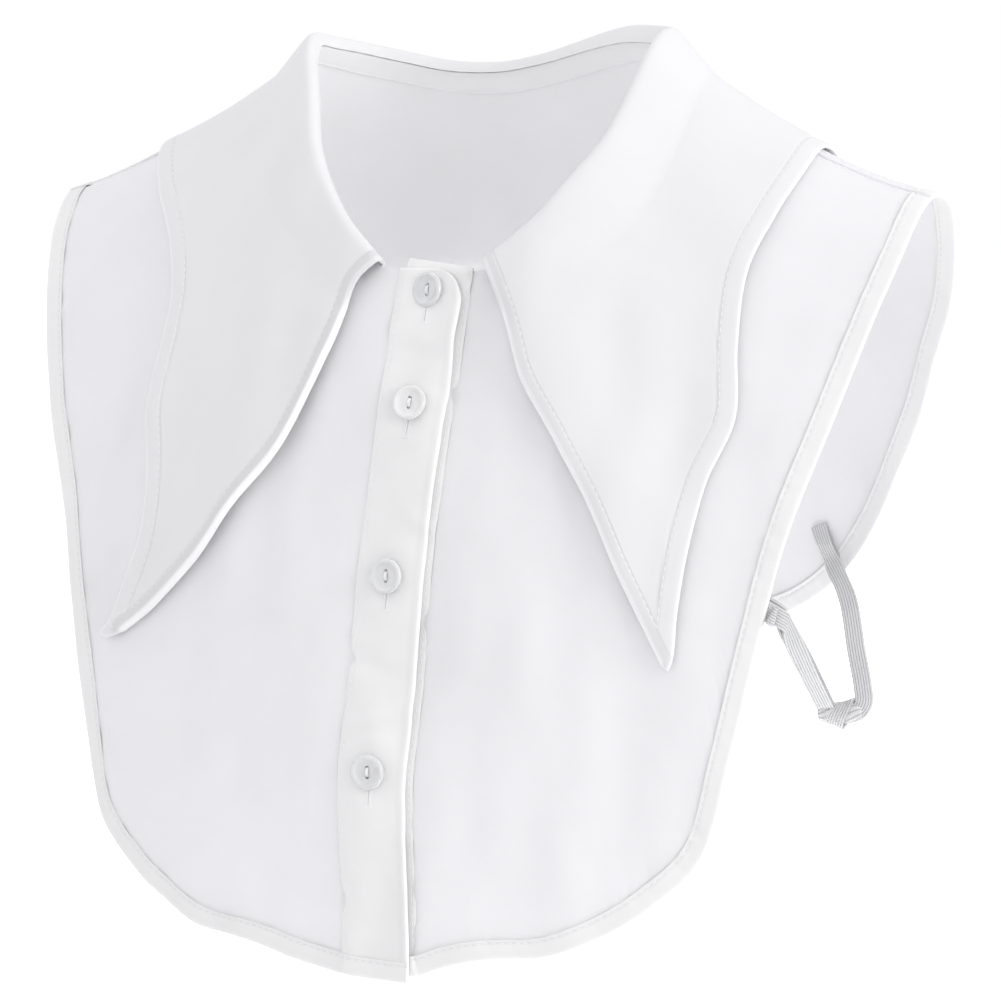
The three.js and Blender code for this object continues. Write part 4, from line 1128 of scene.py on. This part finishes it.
def laid_on(surface, x, s, from_inside=False):
    """Drops places of the body surface on a piece, from outside or inside: points and directions."""
    reach, depth, sink = 0.016, 0.03, 0.00002
    points, outwards = [], []
    for b, n in zip(body_point(x, s), body_normal(x, s) * (-1 if from_inside else 1)):
        hit = surface.ray_cast(Vector(b + n * reach), Vector(-n), depth)[0]
        if hit is not None:
            points.append(np.array(hit) - n * sink)
            outwards.append(n)
    return np.array(points), np.array(outwards)


collar_surface = surface_of(collar_piece)
sewn = np.linspace(0.0, 1.0, 1500)
outer_path = beside(collar_line, sewn, outer_stitch)
front_points = {end: body_path(front_rims[end]) for end in front_rims}
outer_points = body_path(outer_path)
clear_of_fronts = np.minimum(*(nearest_distance(outer_points, front_points[end]) for end in front_rims))
outer_path = outer_path[clear_of_fronts > front_stitch * 0.95]
collar_runs = [laid_on(collar_surface, outer_path[:, 0], outer_path[:, 1])]
for end, turn in ((0.0, 1), (1.0, -1)):
    rim = smooth_line(front_rims[end][::25], 12)
    path = beside(rim, sewn[::3], turn * front_stitch)
    away = nearest_distance(body_path(path), outer_rim)
    into_leaf = nearest_distance(body_path(path), front_points[end])
    path = path[(away > outer_stitch * 0.97) & (sewn[::3] > 0.10) & (into_leaf > front_stitch * 0.8)]
    collar_runs.append(laid_on(collar_surface, path[:, 0], path[:, 1]))
stitch_piece("collar_topstitching", collar_runs)

binding_runs = []
bind_stitch = bind_width - 0.0013
for side in (-1, 1, 0):
    path = beside(binding_lines[side], np.linspace(0.004, 0.996, 900), (-side if side else 1) * bind_stitch)
    surface = surface_of(binding_pieces[side])
    for from_inside in (False, True):
        binding_runs.append(laid_on(surface, path[:, 0], path[:, 1], from_inside))
stitch_piece("binding_stitching", binding_runs)

upper_surface, under_surface = surface_of(upper_band), surface_of(under_band)
stitch_end = band_end - 0.008
from_seam = placket_width / 2 - band_stitch
upper_s = np.linspace(placket_top + 0.003, stitch_end, 500)
under_s = np.linspace(placket_top + 0.0005, stitch_end, 500)
under_x = button_line(under_s) + under_shift + from_seam
stitch_piece("button_band_stitching", [
    laid_on(upper_surface, button_line(upper_s) - from_seam, upper_s),
    laid_on(under_surface, under_x, under_s),
    laid_on(under_surface, under_x, under_s, True),
])

hole_runs, bar_runs = [], []
edge_beyond, edge_aside = 0.0006, 0.0005
bar_beyond, bar_half = 0.0007, 0.0011
for drop in button_drops:
    s = np.linspace(drop - slit_above - edge_beyond, drop + slit_below + edge_beyond, 40)
    for k in (-1, 1):
        hole_runs.append(laid_on(upper_surface, button_line(s) + k * edge_aside, s))
    for place in (drop - slit_above - bar_beyond, drop + slit_below + bar_beyond):
        x = button_line(place) + np.linspace(-bar_half, bar_half, 12)
        bar_runs.append(laid_on(upper_surface, x, np.full(x.shape, place)))
stitch_piece("buttonhole_edges", hole_runs, 0.00034, (0.00030, 0.00096, 0.00030))
stitch_piece("buttonhole_bars", bar_runs, 0.00036, (0.00034, 0.0010, 0.00034))


# The buttons: four cast two-hole buttons of clear pearly polyester, 11.4 mm across, with a raised
# rim, a dished face and an eye-shaped dip round the holes. White thread holds each to the under
# band through the buttonhole.
button_radius = 0.0057
button_thick = 0.0024
button_sides = 72
hole_radius = 0.00075
hole_apart = 0.0028
shank = 0.0004
seat_span = 0.006
strand_radius = 0.00017
strand_places = (-0.0004, -0.00013, 0.00013, 0.0004)
dip_depth = 0.00032
dip_across = 0.00105
dip_along = 0.0031
face_height = 0.72
# The button's section, from the middle of its back to the middle of its face: shares of its radius
# and thickness.
button_rows = (
    (0.00, 0.00), (0.40, 0.00), (0.66, 0.02), (0.84, 0.10), (0.945, 0.26), (0.99, 0.46), (1.00, 0.62),
    (0.985, 0.80), (0.945, 0.93), (0.89, 0.99), (0.83, 1.00), (0.775, 0.97), (0.72, 0.88), (0.66, 0.79),
    (0.58, 0.745), (0.50, 0.73), (0.42, 0.725), (0.35, face_height), (0.28, face_height),
    (0.21, face_height), (0.14, face_height), (0.07, face_height), (0.00, face_height),
)


def button_mesh():
    """The cast button, turned about Z with its face up, before it is put in place."""
    work = bmesh.new()
    rings = []
    for out, up in button_rows:
        r, h = out * button_radius, up * button_thick
        ring = []
        for k in range(button_sides if r else 1):
            a = 2 * math.pi * k / button_sides
            x, y = r * math.cos(a), r * math.sin(a)
            eye = max(0.0, 1 - (x / dip_across) ** 2 - (y / dip_along) ** 2)
            ring.append(work.verts.new((x, y, h - (dip_depth * eye ** 0.6 if up > 0.7 else 0))))
        rings.append(ring)
    for a, b in zip(rings, rings[1:]):
        for k in range(button_sides):
            j = (k + 1) % button_sides
            if len(a) == 1:
                work.faces.new((a[0], b[j], b[k]))
            elif len(b) == 1:
                work.faces.new((a[k], a[j], b[0]))
            else:
                work.faces.new((a[k], a[j], b[j], b[k]))
    bmesh.ops.recalc_face_normals(work, faces=work.faces)
    mesh = bpy.data.meshes.new("button_cast")
    work.to_mesh(mesh)
    work.free()
    return mesh


def drilled(mesh):
    """The same button with its two holes cut through."""
    body = new_object("button_blank", mesh)
    drills = []
    for k in (-0.5, 0.5):
        drill = bpy.data.meshes.new("drill")
        work = bmesh.new()
        bmesh.ops.create_cone(
            work, cap_ends=True, segments=24, radius1=hole_radius, radius2=hole_radius, depth=0.01,
            matrix=Matrix.Translation((0, k * hole_apart, 0)))
        work.to_mesh(drill)
        work.free()
        drills.append(new_object("drill", drill))
        cut = body.modifiers.new("hole", "BOOLEAN")
        cut.operation = "DIFFERENCE"
        cut.solver = "EXACT"
        cut.object = drills[-1]
    result = made_mesh(body)
    for drill in drills:
        bpy.data.objects.remove(drill)
    return result


pearl_finish, tree = new_material("clear_pearl_polyester")
place = add_node(tree, "ShaderNodeTexCoord")
cloud = add_node(tree, "ShaderNodeTexNoise", {
    "Vector": place.outputs["Object"], "Scale": 260, "Detail": 4, "Distortion": 1.5}).outputs["Fac"]
# Each button's own attribute mixes its colour towards white: a painted reflection, strongest on the second
# button.
painted_reflection = add_node(tree, "ShaderNodeAttribute", attribute_name="painted_reflection").outputs["Fac"]
clear = mix_colours(tree, cloud, (0.80, 0.81, 0.83, 1), (0.98, 0.98, 0.99, 1))
pearl_and_painted_reflection = mix_colours(tree, painted_reflection, clear, (1.0, 1.0, 1.0, 1))
show_surface(tree, add_node(tree, "ShaderNodeBsdfPrincipled", {
    "Base Color": pearl_and_painted_reflection, "Roughness": remap(tree, cloud, (0, 1), (0.08, 0.20)), "IOR": 1.5,
    "Transmission Weight": 0.30, "Coat Weight": 0.5, "Coat Roughness": 0.04, "Specular IOR Level": 0.6}))

cast = drilled(button_mesh())
# How each button lies: degrees turned to the side and nodded, how far it is sunk, and how much its colour is
# painted whiter, a painted reflection.
button_set = ((-13, 5, 0.0011, 0.10), (3, -5, 0.0, 0.95), (-3, 3, 0.0, 0.30), (4, 5, 0.0, 0.20))
for i, (drop, (tip, nod, sunk, painted_reflection_share)) in enumerate(zip(button_drops, button_set), 1):
    x = float(button_line(drop))
    top, out = laid_on(upper_surface, x + seat_span * np.array([-0.5, 0.5]), np.array([drop, drop]))
    out = Vector(out.mean(0)).normalized()
    seat = Vector(top.mean(0)) + out * (shank - sunk)
    across = (Vector((1, 0, 0)) - out * out.x).normalized()
    axes = Matrix((across, out.cross(across), out)).transposed().to_4x4()
    turned = Matrix.Rotation(math.radians(tip), 4, "Y") @ Matrix.Rotation(math.radians(nod), 4, "X")
    put = Matrix.Translation(seat) @ axes @ turned
    mesh = cast.copy()
    mesh.transform(put)
    mesh.polygons.foreach_set("use_smooth", np.ones(len(mesh.polygons), bool))
    mesh.set_sharp_from_angle(angle=math.radians(40))
    add_values(mesh, "painted_reflection", np.full(len(mesh.vertices), painted_reflection_share))
    finish_piece(new_object(f"cast_button_{i}", mesh), pearl_finish, f"button_{i}")

    strands = bpy.data.curves.new(f"button_thread_{i}_strands", "CURVE")
    strands.dimensions = "3D"
    strands.bevel_depth = strand_radius
    strands.bevel_resolution = 2
    low, face, hole = -shank - 0.0022, button_thick * face_height - 0.0003, hole_apart / 2
    for k in strand_places:
        route = (
            (0.6 * k, -0.0004, low), (k, -hole, 0.0002), (k, -hole, face * 0.8),
            (k, -hole / 2, face + 0.00035), (k, hole / 2, face + 0.00035),
            (k, hole, face * 0.8), (k, hole, 0.0002), (0.6 * k, 0.0004, low))
        spline = strands.splines.new("BEZIER")
        spline.bezier_points.add(len(route) - 1)
        for point, spot in zip(spline.bezier_points, route):
            point.co = put @ Vector(spot)
            point.handle_left_type = point.handle_right_type = "AUTO"
        spline.resolution_u = 6
    thread_mesh = made_mesh(new_object("strands", strands))
    thread_mesh.materials.clear()
    sewing = new_object(f"button_sewing_{i}", thread_mesh)
    finish_piece(sewing, thread_finish, f"button_thread_{i}")


# The side ties: 6 mm flat braided elastic. One end is sewn flat inside the back, it drops past the
# back's binding to a knot, and goes up doubled to a small bar behind the front's binding.
elastic_width = 0.006
elastic_wall = 0.0011
knot_length = 0.015
knot_height = 0.0085
knot_thick = 0.006
knot_rings = 60
knot_sides = 96
knot_out = 0.721 * span_half
knot_behind = 0.025
knot_drop = 0.2165
rear_out = 0.555 * span_half
rear_drop = 0.697 * back_drop
rib_count = 7
rib_depth = 0.00016
braid_pitch = 0.0011
braid_height = 0.00005
ribbon_step = 0.00022
ribbon_columns = 43
end_round = 0.0005

elastic_finish, tree = new_material("braided_elastic")
place = add_node(tree, "ShaderNodeUVMap", uv_map="cloth").outputs["UV"]
split = add_node(tree, "ShaderNodeSeparateXYZ", {0: place}).outputs
ribs = calculate(tree, "SINE", calculate(tree, "MULTIPLY", split["Y"], rib_count * math.pi / elastic_width))
ribs = calculate(tree, "ABSOLUTE", ribs)
along_yarn = calculate(tree, "MULTIPLY", split["X"], 2 * math.pi / (braid_pitch / 2))
yarn = calculate(tree, "SINE", calculate(tree, "ADD", along_yarn, calculate(tree, "MULTIPLY", ribs, 2.4)))
fluff = add_node(tree, "ShaderNodeTexNoise", {"Vector": place, "Scale": 2600, "Detail": 2})
# The grooves between the ribs and the dips between the yarns are painted darker: painted shade in the braid's
# recesses.
rib_light = calculate(tree, "ADD", ribs, remap(tree, yarn, (-1.0, 0.6), (-0.35, 0.0)))
painted_groove_shade = remap(tree, rib_light, (-0.05, 0.5), (0, 1))
tint = mix_colours(tree, painted_groove_shade, (0.40, 0.40, 0.41, 1), (0.70, 0.70, 0.71, 1))
relief = add_node(tree, "ShaderNodeBump", {
    "Strength": 0.6, "Distance": 0.0001, "Height": calculate(tree, "ADD", yarn, fluff.outputs["Fac"])})
show_surface(tree, add_node(tree, "ShaderNodeBsdfPrincipled", {
    "Base Color": tint, "Normal": relief.outputs[0], "Roughness": 0.75, "Sheen Weight": 0.15,
    "Specular IOR Level": 0.3}))


def along_path(way, points, places):
    """The points at given lengths along a path."""
    return np.stack([np.interp(places, way, points[:, k]) for k in range(3)], -1)


def ribbon_piece(name, path, across, node=None):
    """A flat ribbed ribbon along a path of points; across gives its width's direction at each point."""
    way = np.concatenate([[0], np.cumsum(np.linalg.norm(np.diff(path, axis=0), axis=1))])
    along = np.linspace(0, way[-1], max(int(way[-1] / ribbon_step), 8))
    centre = along_path(way, path, along)
    run = unit(np.gradient(centre, axis=0))
    wide = along_path(way, across, along)
    wide = unit(wide - np.einsum("ij,ij->i", wide, run)[:, None] * run)
    out = np.cross(run, wide)
    y = np.linspace(-0.5, 0.5, ribbon_columns) * elastic_width
    rib = np.abs(np.sin(math.pi * rib_count * (y / elastic_width + 0.5)))
    edge_round = np.sqrt(np.clip(1 - (np.abs(y) / (elastic_width / 2)) ** 8, 0, 1))
    half = elastic_wall / 2 * (0.25 + 0.75 * edge_round) - rib_depth * (1 - rib) * edge_round
    every_other = np.arange(ribbon_columns) // 6 % 2
    phase = 2 * math.pi * along[:, None] / braid_pitch + 2.2 * rib[None] + math.pi * every_other[None]
    near_end = np.minimum(np.minimum(along, along[-1] - along) / end_round, 1)
    end = np.sqrt(1 - (1 - near_end) ** 2)[:, None]
    thick = (half[None] + braid_height * np.sin(phase) * edge_round[None]) * (0.5 + 0.5 * end)
    base = centre[:, None] + wide[:, None] * y[None, :, None]
    lift = out[:, None] * thick[..., None]
    uv = np.stack(np.broadcast_arrays(along[:, None], y[None] + elastic_width / 2), -1)
    finish_piece(shell_object(name, base + lift, base - lift, uv), elastic_finish, node)


def body_at(place, n):
    place = np.asarray(place, float)
    return on_cloth(place[..., 0], place[..., 1], n)


# Where each front strap goes round its binding's edge: down the front, and how far it runs on
# inside that edge and outside it.
tie_front = {-1: (0.505, 0.001, -0.008), 1: (0.478, 0.004, 0.0045)}
up = np.array([0, 0, 1.0])
on_panel = -(panel_wall / 2 + elastic_wall / 2 + 0.0001)
on_binding = -(bind_leg + 0.0005 + elastic_wall / 2 + 0.0003)
behind = -(bind_leg + 0.0005 + elastic_wall * 1.1 + 0.0003)
for side, word in ((-1, "right"), (1, "left")):
    low = np.array([side * knot_out, knot_behind, -knot_drop])
    axis = unit(np.array([side * 0.88, 0.47, 0.0]))
    aside = np.cross(up, axis)
    rear_place = np.array([side * rear_out, -rear_drop])
    bend = low + axis * 0.0078 + up * 0.0034
    rear_path = smooth_line([
        body_at(rear_place, on_panel),
        body_at(rear_place + [side * 0.0022, -0.0040], on_binding - 0.0001),
        body_at(rear_place + [side * 0.0064, -0.0102], on_binding - 0.0003),
        bend + axis * -0.0057 + [-side * 0.0081, 0.0202, 0.0300],
        bend + axis * -0.0030 + [-side * 0.0035, 0.0092, 0.0160],
        bend + axis * -0.0003 + [-side * 0.0008, 0.0018, 0.0050],
        bend,
        low + axis * 0.0058 + up * 0.0004,
        low + axis * 0.0022 - up * 0.0002,
    ], 24)[0]
    cloth_step = [side * 0.004, 0.0018]
    cloth_across = unit(body_at(rear_place + cloth_step, 0) - body_at(rear_place - cloth_step, 0))
    turn = smooth(0.12, 0.5, np.linspace(0, 1, len(rear_path)))[:, None]
    level = np.cross(aside, unit(np.gradient(rear_path, axis=0)))
    level = -level if np.dot(np.cross(aside, -up), axis) < 0 else level
    rear_across = cloth_across * (1 - turn) + level * turn
    ribbon_piece(f"elastic_rear_{word}_ribbon", rear_path, rear_across, f"elastic_rear_{word}")

    drop, inside_edge, outside_edge = tie_front[side]
    line = front_lines[side]
    share = first_share(line, lambda x, s: s < drop * front_drop)

    def by_edge(distance, n):
        """A point a distance outside the front's edge at the tie."""
        return body_at(beside(line, np.array(share), distance * side), n)

    edge_across = unit(body_at(at(line, share + 0.01), 0) - body_at(at(line, share - 0.01), 0))
    edge_across = -edge_across if np.dot(edge_across, axis) < 0 else edge_across
    start = low - axis * knot_length * 0.30 + up * (knot_height / 2 - 0.0022)
    near, far = by_edge(outside_edge, behind - 0.0003), by_edge(-inside_edge, behind)
    straight = [start + (near - start) * part for part in (0, 0.25, 0.5, 0.75, 0.92, 1)]
    front_path = smooth_line([*straight, far], 16)[0]
    steps = np.linspace(0, 1, len(front_path))
    turn = smooth(0.15, 0.85, steps)[:, None]
    front_across = axis * (1 - turn) + edge_across * turn
    out = unit(np.cross(unit(np.gradient(front_path, axis=0)), front_across))
    apart = (elastic_wall / 2 + 0.0001 + 0.0005 * np.sin(math.pi * steps))[:, None]
    slip = -unit(front_across) * (0.0009 * turn)
    ribbon_piece(
        f"elastic_front_{word}_ribbon", front_path + out * apart, front_across, f"elastic_front_{word}")
    ribbon_piece(f"elastic_front_{word}_second_layer", front_path - out * apart + slip, front_across)
    if side > 0:
        bar_rows = ((-0.0030, 0.0011), (0.0008, 0.0012), (0.0024, 0.0018), (0.0030, 0.0030), (0.0016, 0.0034))
        bar = np.array([by_edge(distance, behind + n) for distance, n in bar_rows])
        bar = smooth_line(bar + edge_across * -0.0012, 16)[0]
        ribbon_piece("elastic_bar_left", bar, np.broadcast_to(edge_across, bar.shape))

    # The knot: a ribbed core with its folds twisted round it, and one turn of the elastic over it.
    a = np.linspace(0.18, math.pi - 0.18, knot_rings)[:, None]
    b = np.linspace(0, 2 * math.pi, knot_sides, endpoint=False)[None]
    twist, folds = 1.1 * np.cos(a), 4.5
    width = np.sin(a) ** 0.6 * (0.80 + 0.05 * np.abs(np.sin((b + twist) * folds)))
    core = (
        low + axis * (np.cos(a) * np.ones_like(b) * knot_length * 0.49)[..., None]
        + aside * (width * np.cos(b) * knot_thick / 2)[..., None]
        + up * (width * np.sin(b) * knot_height / 2)[..., None])
    uv = np.stack(np.broadcast_arrays(
        (1 - np.cos(a)) * knot_length / 2,
        (b + twist) * folds * elastic_width / (rib_count * math.pi)), -1)
    knot = tube_object(f"elastic_knot_{word}_core", core, uv)
    finish_piece(knot, elastic_finish, f"elastic_knot_{word}")
    b = np.linspace(0, 2 * math.pi, 160)[:, None]
    ring = (
        low + axis * (0.0022 * np.sin(b + 0.6) + 0.0004)
        + aside * (np.cos(b) * (knot_thick / 2 - 0.0005)) + up * (np.sin(b) * (knot_height / 2 - 0.0006)))
    lean = unit(axis + aside * 0.25 * np.cos(b) + up * 0.35 * np.sin(b))
    ribbon_piece(f"elastic_knot_{word}_wrap", ring, lean)
